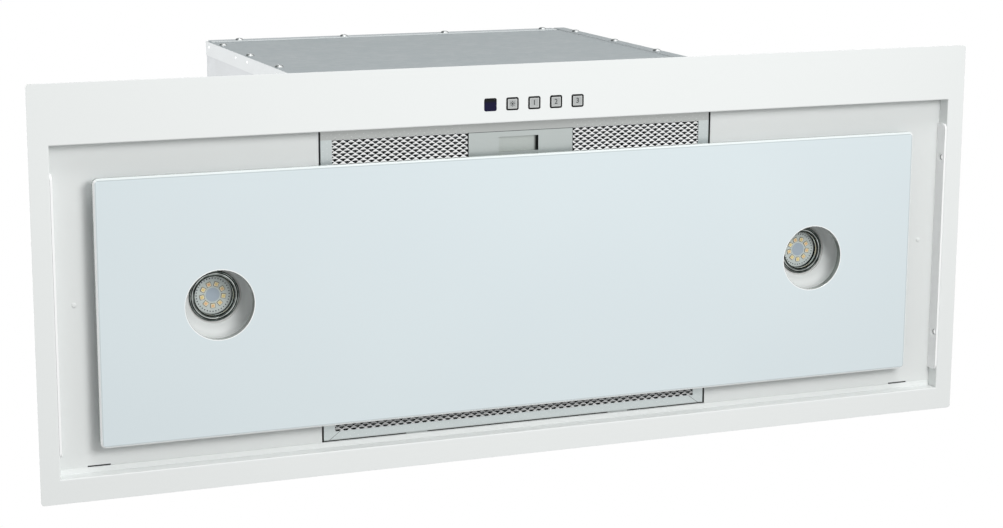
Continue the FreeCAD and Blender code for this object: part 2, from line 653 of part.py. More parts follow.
def filter_frame():
    frame = block(FILTER_LEFT, FILTER_RIGHT, FILTER_FRONT, FILTER_REAR, FLOOR_Z, FILTER_TOP)
    outer = level_edges(frame, FLOOR_Z)
    frame = frame.makeFillet(FILTER_EDGE_R, outer)
    cavity = block(FILTER_LEFT + FILTER_SHEET, FILTER_RIGHT - FILTER_SHEET, FILTER_FRONT + FILTER_SHEET,
                   FILTER_REAR - FILTER_SHEET, FLOOR_Z + FILTER_SHEET, FILTER_TOP - FILTER_SHEET)
    window = block(WINDOW_LEFT, WINDOW_RIGHT, WINDOW_FRONT, WINDOW_REAR, FLOOR_Z, FILTER_TOP)
    frame = frame.cut([cavity, window, bolt_slot()])
    tabs = []
    for side in (-1, 1):
        middle = SUCTION_OFFSET_X + side * FILTER_TAB_OUT
        low = CARRIER_TOP + TAB_CLEARANCE
        tabs.append(block(middle - FILTER_TAB_WIDTH / 2, middle + FILTER_TAB_WIDTH / 2,
                          FILTER_REAR - FILTER_SHEET, FILTER_REAR + FILTER_TAB_REACH, low, low + FILTER_TAB_T))
    return joined([frame] + tabs)


def filter_layer(z0, z1):
    """One layer that lies in the frame's channel, cut away round the handle plate."""
    gap = FILTER_SHEET + MESH_GAP
    sheet = block(FILTER_LEFT + gap, FILTER_RIGHT - gap, FILTER_FRONT + gap, FILTER_REAR - gap, z0, z1)
    half = HANDLE_WIDTH / 2 + MESH_GAP
    return sheet.cut(block(SUCTION_OFFSET_X - half, SUCTION_OFFSET_X + half,
                           FILTER_FRONT, WINDOW_FRONT + HANDLE_DEPTH + MESH_GAP, z0, z1))


def filter_handle_plate():
    half = HANDLE_WIDTH / 2
    plate = block(SUCTION_OFFSET_X - half, SUCTION_OFFSET_X + half, WINDOW_FRONT, WINDOW_FRONT + HANDLE_DEPTH,
                  FLOOR_Z, FILTER_TOP - FILTER_SHEET)
    mouth = block(POCKET_X - POCKET_WIDTH / 2, POCKET_X + POCKET_WIDTH / 2, POCKET_FRONT, POCKET_REAR,
                  FLOOR_Z, FLOOR_Z + HANDLE_SHEET)
    room_half = POCKET_WIDTH / 2 + PULL_LAP + PULL_SIDE_GAP
    room = block(POCKET_X - room_half, POCKET_X + room_half, PULL_FRONT - PULL_SIDE_GAP,
                 PULL_REAR + LATCH_TRAVEL + PULL_SIDE_GAP, FLOOR_Z + HANDLE_SHEET,
                 FILTER_TOP - FILTER_SHEET - HANDLE_SHEET)
    return plate.cut([mouth, room, bolt_slot()])


def filter_pull():
    """A sliding tray behind the handle plate's mouth: a bolt in front, a wall at the rear to push on."""
    half, tray_half = BOLT_WIDTH / 2, POCKET_WIDTH / 2 + PULL_LAP
    tray_z = FLOOR_Z + PULL_RECESS
    behind_sheet = FLOOR_Z + HANDLE_SHEET + BOLT_CLEARANCE
    return joined([
        block(POCKET_X - tray_half, POCKET_X + tray_half, PULL_FRONT, PULL_REAR, tray_z, tray_z + PULL_T),
        block(POCKET_X - tray_half, POCKET_X + tray_half, PULL_REAR - PULL_T, PULL_REAR, behind_sheet, tray_z),
        block(POCKET_X - half, POCKET_X + half, PULL_FRONT, PULL_FRONT + PULL_T, bolt_z(), tray_z),
        block(POCKET_X - half, POCKET_X + half, OPENING_FRONT - BOLT_ENGAGEMENT, PULL_FRONT + PULL_T,
              bolt_z(), bolt_z() + BOLT_T),
    ])


def filter_seat():
    """The ledge above the filter: a ring on two folded legs that stand on the carrier plate."""
    x0, x1 = INNER_LEFT + WALL_SEAT_GAP, INNER_RIGHT - WALL_SEAT_GAP
    y0, y1 = PARTITION_Y + HOUSING_SHEET + WALL_SEAT_GAP, INNER_REAR - WALL_SEAT_GAP
    low = FILTER_TOP + TAB_CLEARANCE
    ring = block(x0, x1, y0, y1, low, low + SEAT_T)
    ring = ring.cut(block(FILTER_LEFT + SEAT_OVERLAP, FILTER_RIGHT - SEAT_OVERLAP, FILTER_FRONT + SEAT_OVERLAP,
                          FILTER_REAR - SEAT_OVERLAP, low, low + SEAT_T))
    legs = [block(x0, x0 + SEAT_T, y0, y1, CARRIER_TOP, low), block(x1 - SEAT_T, x1, y0, y1, CARRIER_TOP, low)]
    return joined([ring] + legs)


# ---- glass panel ----
def glass_hole_centres():
    return [(x + GLASS_OFFSET_X, LAMP_Y + GLASS_HOLE_BACK) for x, _ in lamp_centres()]


def glass_panel():
    glass = rounded_block(GLASS_OFFSET_X - GLASS_X, GLASS_OFFSET_X + GLASS_X, GLASS_FRONT, GLASS_REAR,
                          GLASS_FACE, GLASS_BACK, GLASS_CORNER_R)
    glass = glass.makeChamfer(GLASS_BEVEL, level_edges(glass, GLASS_FACE))
    glass = glass.makeChamfer(GLASS_BACK_BEVEL, level_edges(glass, GLASS_BACK))
    for x, y in glass_hole_centres():
        hole = round_bar(GLASS_HOLE_R, x, y, GLASS_FACE, GLASS_T)
        bevel = Part.makeCone(GLASS_HOLE_R + HOLE_BEVEL, GLASS_HOLE_R, HOLE_BEVEL, V(x, y, GLASS_FACE), Z_AXIS)
        glass = glass.cut([hole, bevel])
    return glass


def bonding_tape():
    strips = []
    reach = TRAY_X - TAPE_WIDTH / 2
    for y in (TRAY_FRONT + TAPE_WIDTH / 4, TRAY_REAR - TAPE_WIDTH * 5 / 4):
        strips.append(block(-reach, reach, y, y + TAPE_WIDTH, GLASS_BACK, TRAY_BOTTOM))
    return group(strips)


def panel_tray():
    tray = block(-TRAY_X, TRAY_X, TRAY_FRONT, TRAY_REAR, TRAY_BOTTOM, TRAY_TOP)
    radius = CUP_R + CUP_T + TRAY_HOLE_CLEARANCE
    return tray.cut([round_bar(radius, x, y, TRAY_BOTTOM, TRAY_T) for x, y in lamp_centres()])


def hinge_brackets():
    brackets = []
    for x in (-HINGE_X, HINGE_X):
        x0, x1 = x - HINGE_WIDTH / 2, x + HINGE_WIDTH / 2
        ear_front, ear_rear = HINGE_Y - HINGE_EAR_R, HINGE_Y + HINGE_EAR_R
        base_z = FLOOR_Z - HINGE_BASE_T
        pieces = [block(x0, x1, HINGE_Y - HINGE_BASE_FRONT, ear_rear, base_z, FLOOR_Z)]
        for ear in (x0, x1 - HINGE_EAR_T):
            pieces.append(round_bar(HINGE_EAR_R, ear, HINGE_Y, HINGE_Z, HINGE_EAR_T, X_AXIS))
            pieces.append(block(ear, ear + HINGE_EAR_T, ear_front, ear_rear, HINGE_Z, base_z))
        hole = round_bar(HINGE_PIN_R + FIXED_CLEARANCE, x0, HINGE_Y, HINGE_Z, HINGE_WIDTH, X_AXIS)
        brackets.append(joined(pieces).cut(hole))
    return group(brackets)


def hinge_pins():
    pins = []
    half = HINGE_WIDTH / 2
    for x in (-HINGE_X, HINGE_X):
        pins.append(joined([
            round_bar(HINGE_PIN_R, x - half, HINGE_Y, HINGE_Z, HINGE_WIDTH, X_AXIS),
            round_bar(PIN_HEAD_R, x - half - PIN_HEAD_T, HINGE_Y, HINGE_Z, PIN_HEAD_T, X_AXIS),
            round_bar(PIN_HEAD_R, x + half, HINGE_Y, HINGE_Z, PIN_HEAD_T, X_AXIS),
        ]))
    return group(pins)


def hinge_arms():
    arms = []
    half = HINGE_WIDTH / 2 - HINGE_EAR_T - HINGE_SIDE_GAP
    for x in (-HINGE_X, HINGE_X):
        knuckle = round_bar(HINGE_EAR_R, x - half, HINGE_Y, HINGE_Z, 2 * half, X_AXIS)
        leaf = block(x - half, x + half, HINGE_Y - ARM_LENGTH, HINGE_Y, TRAY_TOP, TRAY_TOP + ARM_T)
        bore = round_bar(HINGE_PIN_R + RUNNING_CLEARANCE, x - half, HINGE_Y, HINGE_Z, 2 * half, X_AXIS)
        arms.append(joined([knuckle, leaf]).cut(bore))
    return group(arms)


def catch_magnets():
    magnets = []
    y0 = TRAY_FRONT + MAGNET_INSET
    for x in (-MAGNET_X, MAGNET_X):
        magnets.append(block(x - MAGNET_LENGTH / 2, x + MAGNET_LENGTH / 2, y0, y0 + MAGNET_DEPTH,
                             TRAY_TOP + MAGNET_GAP, FLOOR_Z))
    return group(magnets)


# ---- lamps ----
def cup_outline(offset):
    """The cup's wall, bend and floor as an open line in the XZ plane, offset outwards."""
    radius = CUP_R + offset
    floor = CUP_FLOOR + offset
    bend = CUP_BEND_R + offset
    middle = V(radius - bend, 0, floor - bend)
    swing = bend * math.sqrt(0.5)
    wall = Part.makeLine(V(radius, 0, CUP_RIM), V(radius, 0, middle.z))
    corner = Part.Arc(V(radius, 0, middle.z), V(middle.x + swing, 0, middle.z + swing),
                      V(middle.x, 0, floor)).toShape()
    flat = Part.makeLine(V(middle.x, 0, floor), V(CUP_HOLE_R, 0, floor))
    return [wall, corner, flat]


def lamp_cup(x, y):
    inner, outer = cup_outline(0), cup_outline(CUP_T)
    rim = Part.makeLine(V(CUP_R, 0, CUP_RIM), V(CUP_R + CUP_T, 0, CUP_RIM))
    hole = Part.makeLine(V(CUP_HOLE_R, 0, CUP_FLOOR), V(CUP_HOLE_R, 0, CUP_TOP))
    face = Part.Face(Part.Wire(Part.__sortEdges__(inner + outer + [rim, hole])))
    cup = face.revolve(V(0, 0, 0), Z_AXIS, 360)
    flange = round_bar(CUP_R + CUP_T + CUP_FLANGE, 0, 0, CARRIER_TOP, CUP_T)
    cup = joined([cup, flange.cut(round_bar(CUP_R + CUP_T / 2, 0, 0, CARRIER_TOP, CUP_T))])
    cup.translate(V(x, y, 0))
    return cup


def lamp_ring(x, y):
    """The bright trim ring: its face steps in, then its bore runs up past the board."""
    step_r = (RING_R - RING_INNER_R) / RING_STEPS
    step_z = RING_STEP_DEPTH / RING_STEPS
    outline = [(RING_INNER_R, RING_FACE + RING_T), (RING_R, RING_FACE + RING_T)]
    for i in range(RING_STEPS):
        outline.append((RING_R - i * step_r, RING_FACE + i * step_z))
        outline.append((RING_R - (i + 0.8) * step_r, RING_FACE + i * step_z))
    outline.append((RING_INNER_R, RING_FACE + RING_STEP_DEPTH))
    return turned(outline, x, y)


def led_board(x, y):
    return round_bar(BOARD_R, x, y, BOARD_FACE, BOARD_T)


def led_chips(x, y):
    chips = []
    for i in range(LED_COUNT):
        chip = block(LED_CIRCLE_R - LED_SIZE / 2, LED_CIRCLE_R + LED_SIZE / 2, -LED_SIZE / 2, LED_SIZE / 2,
                     BOARD_FACE - LED_T, BOARD_FACE)
        chip.rotate(V(0, 0, 0), Z_AXIS, 90 + i * 360 / LED_COUNT)
        chip.translate(V(x, y, 0))
        chips.append(chip)
    return group(chips)


def lamp_body(x, y):
    """The lamp behind the ring: a rim that seats on the cup's floor, a finned cone and a neck."""
    rim_top = CUP_TOP + LAMP_RIM_T
    cone = turned([(0, BOARD_BACK), (RING_INNER_R, BOARD_BACK), (RING_INNER_R, RING_FACE + RING_T),
                   (RING_R, RING_FACE + RING_T), (RING_R, CUP_TOP), (LAMP_RIM_R, CUP_TOP),
                   (LAMP_RIM_R, rim_top), (LAMP_NECK_R, LAMP_END), (0, LAMP_END)], x, y)
    slots = []
    for i in range(LAMP_FIN_COUNT):
        slot = block(LAMP_NECK_R + LAMP_FIN_MARGIN, LAMP_RIM_R, -LAMP_FIN_T / 2, LAMP_FIN_T / 2,
                     rim_top + LAMP_FIN_MARGIN, LAMP_END - LAMP_FIN_MARGIN)
        slot.rotate(V(0, 0, 0), Z_AXIS, i * 360 / LAMP_FIN_COUNT)
        slot.translate(V(x, y, 0))
        slots.append(slot)
    return cone.cut(slots)


def lamp_socket(x, y):
    return round_bar(SOCKET_R, x, y, LAMP_END, SOCKET_LENGTH)


# ---- controls ----
def push_button(x):
    inset = BEZEL_INSET + BUTTON_GAP
    key = control_shape(x, inset, BUTTON_FACE, STEM_TOP)
    key = key.makeFillet(EDGE_R, level_edges(key, BUTTON_FACE))
    flange = control_shape(x, inset - BUTTON_FLANGE, FLANGE_Z, FLANGE_Z + BUTTON_FLANGE_T)
    dish = Part.makeSphere(BUTTON_DISH_R, V(x, CONTROL_Y, BUTTON_FACE + BUTTON_DISH - BUTTON_DISH_R))
    return joined([key, flange]).cut(dish)


def sensor_window():
    return control_shape(control_places()[0], BEZEL_GAP, FACE_Z, STIFFENER_T)


def keypad_half():
    """Half the outer length and half the outer depth of the keypad housing."""
    return (2 * CONTROL_PITCH + CONTROL_HOLE_WIDTH / 2 + KEYPAD_MARGIN,
            CONTROL_HOLE_DEPTH / 2 + KEYPAD_MARGIN)


def keypad_housing():
    """A box on the fascia's back; its front wall carries a bezel round each key and an eye for the sensor."""
    half_x, half_y = keypad_half()
    wall = KEYPAD_WALL
    shell = rounded_block(CONTROL_X - half_x, CONTROL_X + half_x, CONTROL_Y - half_y,
                          CONTROL_Y + half_y, STIFFENER_T, KEYPAD_TOP, wall)
    room = block(CONTROL_X - half_x + wall, CONTROL_X + half_x - wall, CONTROL_Y - half_y + wall,
                 CONTROL_Y + half_y - wall, KEYPAD_FACE_TOP, KEYPAD_TOP - wall)
    posts = [round_bar(KEYPAD_POST_R, CONTROL_X + (i - 1) * CONTROL_PITCH * 2, CONTROL_Y, PCB_Z + PCB_T,
                       KEYPAD_TOP - wall - PCB_Z - PCB_T) for i in range(3)]
    sensor_x, *key_places = control_places()
    bezels = [control_shape(x, BEZEL_GAP, FACE_Z, STIFFENER_T) for x in key_places]
    mouths = [control_shape(x, BEZEL_INSET, FACE_Z, KEYPAD_FACE_TOP) for x in key_places]
    mouths.append(control_shape(sensor_x, SENSOR_EYE_INSET, STIFFENER_T, KEYPAD_FACE_TOP))
    return joined([shell.cut(room)] + posts + bezels).cut(mouths)


def keypad_board():
    half_x, half_y = keypad_half()
    inset = KEYPAD_WALL + BOARD_SIDE_GAP
    board = block(CONTROL_X - half_x + inset, CONTROL_X + half_x - inset, CONTROL_Y - half_y + inset,
                  CONTROL_Y + half_y - inset, PCB_Z, PCB_Z + PCB_T)
    half = SWITCH_SIZE / 2
    parts = [block(x - half, x + half, CONTROL_Y - half, CONTROL_Y + half, SWITCH_Z, PCB_Z)
             for x in control_places()]
    return joined([board] + parts)


# ---- blower ----
def scroll_outline(offset):
    """The volute in the YZ plane: quarter arcs, each larger than the last, then the throat up to the roof."""
    point = V(0, SCROLL_Y, SCROLL_AXIS_Z + SCROLL_START_R - offset)
    start = point
    centre = V(0, SCROLL_Y, SCROLL_AXIS_Z)
    edges = []
    for i in range(3):
        radius = SCROLL_START_R + i * SCROLL_STEP - offset
        angle = math.radians(90 + 90 * i)
        middle = angle + math.radians(45)
        last = angle + math.radians(90)
        mid_point = centre + V(0, radius * math.cos(middle), radius * math.sin(middle))
        end = centre + V(0, radius * math.cos(last), radius * math.sin(last))
        edges.append(Part.Arc(point, mid_point, end).toShape())
        centre = end + (centre - end) * ((radius + SCROLL_STEP) / radius)
        point = end
    rear_bottom = V(0, THROAT_REAR - offset, point.z)
    corners = [point, rear_bottom, V(0, THROAT_REAR - offset, ROOF_Z), V(0, THROAT_FRONT + offset, ROOF_Z),
               V(0, THROAT_FRONT + offset, start.z), start]
    for a, b in zip(corners, corners[1:]):
        if a.distanceToPoint(b) > 1e-6:
            edges.append(Part.makeLine(a, b))
    return Part.Face(Part.Wire(Part.__sortEdges__(edges)))


def scroll():
    outer = scroll_outline(0).extrude(V(SCROLL_WIDTH, 0, 0))
    outer.translate(V(SCROLL_X0, 0, 0))
    room = scroll_outline(SCROLL_WALL).extrude(V(SCROLL_WIDTH - 2 * SCROLL_WALL, 0, 0))
    room.translate(V(SCROLL_X0 + SCROLL_WALL, 0, 0))
    inlets = round_bar(SCROLL_INLET_R, SCROLL_X0, SCROLL_Y, SCROLL_AXIS_Z, SCROLL_WIDTH, X_AXIS)
    return outer.cut([room, inlets])


def scroll_half(side):
    x0, x1 = sorted((SUCTION_OFFSET_X, SUCTION_OFFSET_X + side * SCROLL_WIDTH))
    keep = block(x0, x1, PARTITION_Y, HOUSING_REAR, CARRIER_TOP, HOUSING_TOP)
    return scroll().common(keep)


def wheel_ring(x, thickness, outer, inner):
    ring = round_bar(outer, x, SCROLL_Y, SCROLL_AXIS_Z, thickness, X_AXIS)
    return ring.cut(round_bar(inner, x, SCROLL_Y, SCROLL_AXIS_Z, thickness, X_AXIS))


def impeller():
    x0 = SUCTION_OFFSET_X - WHEEL_WIDTH / 2
    bore = SHAFT_R + FIXED_CLEARANCE
    pieces = [
        wheel_ring(x0, WHEEL_RING_T, WHEEL_R, WHEEL_R - BLADE_DEPTH),
        wheel_ring(x0 + WHEEL_WIDTH - WHEEL_RING_T, WHEEL_RING_T, WHEEL_R, WHEEL_R - BLADE_DEPTH),
        wheel_ring(SUCTION_OFFSET_X - WHEEL_DISC_T / 2, WHEEL_DISC_T, WHEEL_R, bore),
        wheel_ring(SUCTION_OFFSET_X - HUB_LENGTH / 2, HUB_LENGTH, HUB_R, bore),
    ]
    middle_r = WHEEL_R - BLADE_DEPTH / 2
    for i in range(WHEEL_BLADES):
        blade = Part.makeBox(WHEEL_WIDTH, BLADE_T, BLADE_DEPTH * 0.95,
                             V(x0, -BLADE_T / 2, -BLADE_DEPTH * 0.475))
        blade.rotate(V(0, 0, 0), X_AXIS, BLADE_LEAN)
        blade.translate(V(0, 0, middle_r))
        blade.rotate(V(0, 0, 0), X_AXIS, i * 360 / WHEEL_BLADES)
        blade.translate(V(0, SCROLL_Y, SCROLL_AXIS_Z))
        pieces.append(blade)
    return joined(pieces)


def motor_shaft():
    x0 = SUCTION_OFFSET_X - HUB_LENGTH / 2
    return round_bar(SHAFT_R, x0, SCROLL_Y, SCROLL_AXIS_Z, MOTOR_X + MOTOR_LENGTH - x0, X_AXIS)


def motor():
    body = round_bar(MOTOR_R, MOTOR_X, SCROLL_Y, SCROLL_AXIS_Z, MOTOR_LENGTH, X_AXIS)
    body = body.makeFillet(MOTOR_EDGE_R, [e for e in body.Edges if e.BoundBox.XLength < 1e-6])
    bore_r = SHAFT_R + RUNNING_CLEARANCE
    return body.cut(round_bar(bore_r, MOTOR_X, SCROLL_Y, SCROLL_AXIS_Z, MOTOR_LENGTH, X_AXIS))


def motor_bracket():
    """A ring round the motor on three arms, whose feet stand on the scroll's cheek outside its inlet."""
    x = MOTOR_X + MOTOR_LENGTH / 3
    foot_r = SCROLL_INLET_R + SPIDER_ARM_WIDTH
    inner = MOTOR_R + SPIDER_FIT
    pieces = [wheel_ring(x, SPIDER_T, inner + SPIDER_RING, inner)]
    for i in range(SPIDER_ARMS):
        arm = Part.makeBox(SPIDER_T, SPIDER_ARM_WIDTH, foot_r - inner - SPIDER_RING / 2,
                           V(x, -SPIDER_ARM_WIDTH / 2, inner + SPIDER_RING / 2))
        foot = Part.makeBox(x - SCROLL_X1, SPIDER_ARM_WIDTH, SPIDER_T,
                            V(SCROLL_X1, -SPIDER_ARM_WIDTH / 2, foot_r - SPIDER_T))
        for piece in (arm, foot):
            piece.rotate(V(0, 0, 0), X_AXIS, i * 360 / SPIDER_ARMS)
            piece.translate(V(0, SCROLL_Y, SCROLL_AXIS_Z))
            pieces.append(piece)
    return joined(pieces)


# ---- outlet ----
def flap_pin_places():
    return [OUTLET_Y - FLAP_PIN_OFFSET, OUTLET_Y + FLAP_PIN_OFFSET]


def outlet_collar():
    x, y = SUCTION_OFFSET_X, OUTLET_Y
    tube = round_bar(COLLAR_R, x, y, HOUSING_TOP, COLLAR_HEIGHT)
    flange = round_bar(COLLAR_R + COLLAR_FLANGE, x, y, HOUSING_TOP, COLLAR_FLANGE_T)
    collar = joined([tube, flange]).cut(round_bar(COLLAR_BORE, x, y, HOUSING_TOP, COLLAR_HEIGHT))
    ledge_top = FLAP_Z - FLAP_T / 2 - FLAP_LEDGE_GAP
    ledge = round_bar(COLLAR_BORE + COLLAR_T / 2, x, y, ledge_top - LEDGE_T, LEDGE_T)
    ledge = ledge.cut(round_bar(COLLAR_BORE - LEDGE_WIDTH, x, y, ledge_top - LEDGE_T, LEDGE_T))
    holes = [round_bar(HINGE_PIN_R + FIXED_CLEARANCE, x - COLLAR_R, pin_y, FLAP_Z, 2 * COLLAR_R, X_AXIS)
             for pin_y in flap_pin_places()]
    return joined([collar, ledge]).cut(holes)


def damper_pins():
    half = COLLAR_BORE + COLLAR_T / 2
    return group([round_bar(HINGE_PIN_R, SUCTION_OFFSET_X - half, y, FLAP_Z, 2 * half, X_AXIS)
                  for y in flap_pin_places()])


def damper_flap(side):
    x = SUCTION_OFFSET_X
    pin_y = OUTLET_Y + side * FLAP_PIN_OFFSET
    disc = round_bar(COLLAR_BORE - FLAP_RIM_GAP, x, OUTLET_Y, FLAP_Z - FLAP_T / 2, FLAP_T)
    y0, y1 = sorted((pin_y, pin_y + side * COLLAR_R))
    half_disc = disc.common(block(x - FLAP_KNUCKLE_HALF, x + FLAP_KNUCKLE_HALF, y0, y1,
                                  FLAP_Z - FLAP_T, FLAP_Z + FLAP_T))
    knuckle = round_bar(FLAP_KNUCKLE_R, x - FLAP_KNUCKLE_HALF, pin_y, FLAP_Z, 2 * FLAP_KNUCKLE_HALF, X_AXIS)
    bore = round_bar(HINGE_PIN_R + RUNNING_CLEARANCE, x - FLAP_KNUCKLE_HALF, pin_y, FLAP_Z,
                     2 * FLAP_KNUCKLE_HALF, X_AXIS)
    return joined([half_disc, knuckle]).cut(bore)


# ---- wiring ----
def boxed_device(size, x):
    """A closed case that stands on the carrier plate against the compartment wall."""
    length, depth, height = size
    return rounded_block(x - length / 2, x + length / 2, PARTITION_Y - depth, PARTITION_Y,
                         CARRIER_TOP, CARRIER_TOP + height, CASE_CORNER_R)


def hexagon(radius, x, y, z, height):
    corners = [V(x + radius * math.cos(math.radians(a)), y + radius * math.sin(math.radians(a)), z)
               for a in range(0, 361, 60)]
    return Part.Face(Part.makePolygon(corners)).extrude(V(0, 0, height))


def cable_gland():
    low = ROOF_Z - GLAND_BELOW
    length = HOUSING_TOP + GLAND_ABOVE - low
    body = round_bar(GLAND_R, GLAND_X, GLAND_Y, low, length)
    nuts = [hexagon(GLAND_NUT_R, GLAND_X, GLAND_Y, z, GLAND_NUT_T) for z in (ROOF_Z - GLAND_NUT_T, HOUSING_TOP)]
    return joined([body] + nuts).cut(round_bar(GLAND_BORE_R, GLAND_X, GLAND_Y, low, length))


# ---- one file for each piece ----
save("fascia_frame", fascia_frame())
save("side_plate_left", side_plate(-1))
save("side_plate_right", side_plate(1))
save("carrier_plate", carrier_plate())
save("floor_rivets", floor_rivets())
save("housing_wrapper", housing_wrapper())
save("housing_front_panel", housing_front_panel())
save("housing_top_panel", housing_top_panel())
save("housing_screws", housing_screws())
save("compartment_wall", compartment_wall())

save("filter_frame", filter_frame())
mesh_low = FLOOR_Z + FILTER_SHEET
mesh_high = FILTER_TOP - FILTER_SHEET
save("filter_mesh", filter_layer(mesh_low, mesh_low + MESH_T))
save("filter_pack", filter_layer(mesh_low + MESH_T, mesh_high - MESH_T))
save("filter_back_mesh", filter_layer(mesh_high - MESH_T, mesh_high))
save("filter_handle_plate", filter_handle_plate())
save("filter_pull", filter_pull())
save("filter_seat", filter_seat())

save("glass_panel", glass_panel())
save("bonding_tape", bonding_tape())
save("panel_tray", panel_tray())
save("hinge_arms", hinge_arms())
save("hinge_brackets", hinge_brackets())
save("hinge_pins", hinge_pins())
save("catch_magnets", catch_magnets())

for hand, (lamp_x, lamp_y) in zip(("left", "right"), lamp_centres()):
    save(f"lamp_cup_{hand}", lamp_cup(lamp_x, lamp_y))
    save(f"lamp_ring_{hand}", lamp_ring(lamp_x, lamp_y))
    save(f"led_board_{hand}", led_board(lamp_x, lamp_y))
    save(f"led_chips_{hand}", led_chips(lamp_x, lamp_y))
    save(f"lamp_body_{hand}", lamp_body(lamp_x, lamp_y))
    save(f"lamp_socket_{hand}", lamp_socket(lamp_x, lamp_y))

save("sensor_window", sensor_window())
for key_name, key_x in zip(("light", "speed_1", "speed_2", "speed_3"), control_places()[1:]):
    save(f"button_{key_name}", push_button(key_x))
save("keypad_housing", keypad_housing())
save("keypad_board", keypad_board())

save("scroll_half_left", scroll_half(-1))
save("scroll_half_right", scroll_half(1))
save("impeller", impeller())
save("motor_shaft", motor_shaft())
save("motor", motor())
save("motor_bracket", motor_bracket())

save("outlet_collar", outlet_collar())
save("damper_pins", damper_pins())
save("damper_flap_front", damper_flap(-1))
save("damper_flap_rear", damper_flap(1))

save("control_module", boxed_device(MODULE_SIZE, HOUSING_RIGHT - MODULE_FROM_RIGHT))
save("capacitor", boxed_device(CAPACITOR_SIZE, HOUSING_LEFT + CAPACITOR_FROM_LEFT))
save("cable_gland", cable_gland())
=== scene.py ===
# %% [markdown]
# # A built-in range hood, dressed around its CAD model
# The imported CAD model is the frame: it has every sheet, hole and hinge at its real size, and it moves.
# This script gives each piece its finish, and builds in mesh code what a CAD solid only stands in for:
# the expanded-metal filter, the lamps, the marks on the keys and the screw heads.

# %% Load the frame
import json
import math

import bmesh
import bpy
from mathutils import Matrix, Vector


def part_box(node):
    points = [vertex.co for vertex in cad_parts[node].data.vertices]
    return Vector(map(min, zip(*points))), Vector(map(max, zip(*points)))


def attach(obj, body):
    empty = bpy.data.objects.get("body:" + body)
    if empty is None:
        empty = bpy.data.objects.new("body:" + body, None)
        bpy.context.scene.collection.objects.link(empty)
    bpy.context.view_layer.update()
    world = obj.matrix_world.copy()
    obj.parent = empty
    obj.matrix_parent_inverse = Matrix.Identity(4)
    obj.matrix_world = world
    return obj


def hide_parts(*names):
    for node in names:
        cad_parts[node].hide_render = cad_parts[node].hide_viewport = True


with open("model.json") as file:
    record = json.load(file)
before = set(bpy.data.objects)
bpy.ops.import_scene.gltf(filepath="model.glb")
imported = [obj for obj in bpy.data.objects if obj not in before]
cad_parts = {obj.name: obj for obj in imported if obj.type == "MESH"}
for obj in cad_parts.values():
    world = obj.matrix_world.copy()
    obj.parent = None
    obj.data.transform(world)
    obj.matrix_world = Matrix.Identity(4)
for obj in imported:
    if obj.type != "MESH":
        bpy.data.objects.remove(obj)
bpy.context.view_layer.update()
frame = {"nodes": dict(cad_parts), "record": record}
nodes = frame["nodes"]
MM = 0.001


def box_mm(name):
    """The lowest and the highest corner of a CAD node, in mm."""
    return [[v / MM for v in corner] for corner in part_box(name)]


def middle_mm(name):
    """The middle of a CAD node's box, in mm."""
    return [(a + b) / 2 for a, b in zip(*box_mm(name))]


# %% [markdown]
# ## Camera
# The hood hangs overhead, so the camera looks up at it from below, in front and to the left, through a long
# lens. Its place and its three turns come from lining up the corners of the fascia, the recess and the
# housing.

# %% Camera
CAMERA_AT = Vector((-0.77139, -0.40965, -1.85304))
TILT, SWING, ROLL = 0.21773, -0.37249, -0.07626
LENS_MM, SENSOR_MM = 81.19, 36.0

turn = Matrix.Rotation(ROLL, 3, "Z") @ Matrix.Rotation(SWING, 3, "Y") @ Matrix.Rotation(TILT, 3, "X")
right, down, forward = turn
camera = bpy.data.objects.new("camera", bpy.data.cameras.new("camera"))
camera.data.lens, camera.data.sensor_width, camera.data.sensor_fit = LENS_MM, SENSOR_MM, "HORIZONTAL"
camera.data.clip_start, camera.data.clip_end = 0.05, 60
camera.matrix_world = Matrix.LocRotScale(CAMERA_AT, Matrix((right, -down, -forward)).transposed(), None)
bpy.context.scene.collection.objects.link(camera)
bpy.context.scene.camera = camera
bpy.context.scene.view_settings.view_transform = "Standard"
print("camera looks along", [round(v, 3) for v in forward])

# %% [markdown]
# ## Shader sums in plain Python
# A node graph is easier to read as a formula. `Value` wraps a socket, so `1 - mask * 0.5` adds the Math
# nodes, and `Nodes.add` makes any other node from its type, its settings and what feeds its sockets.

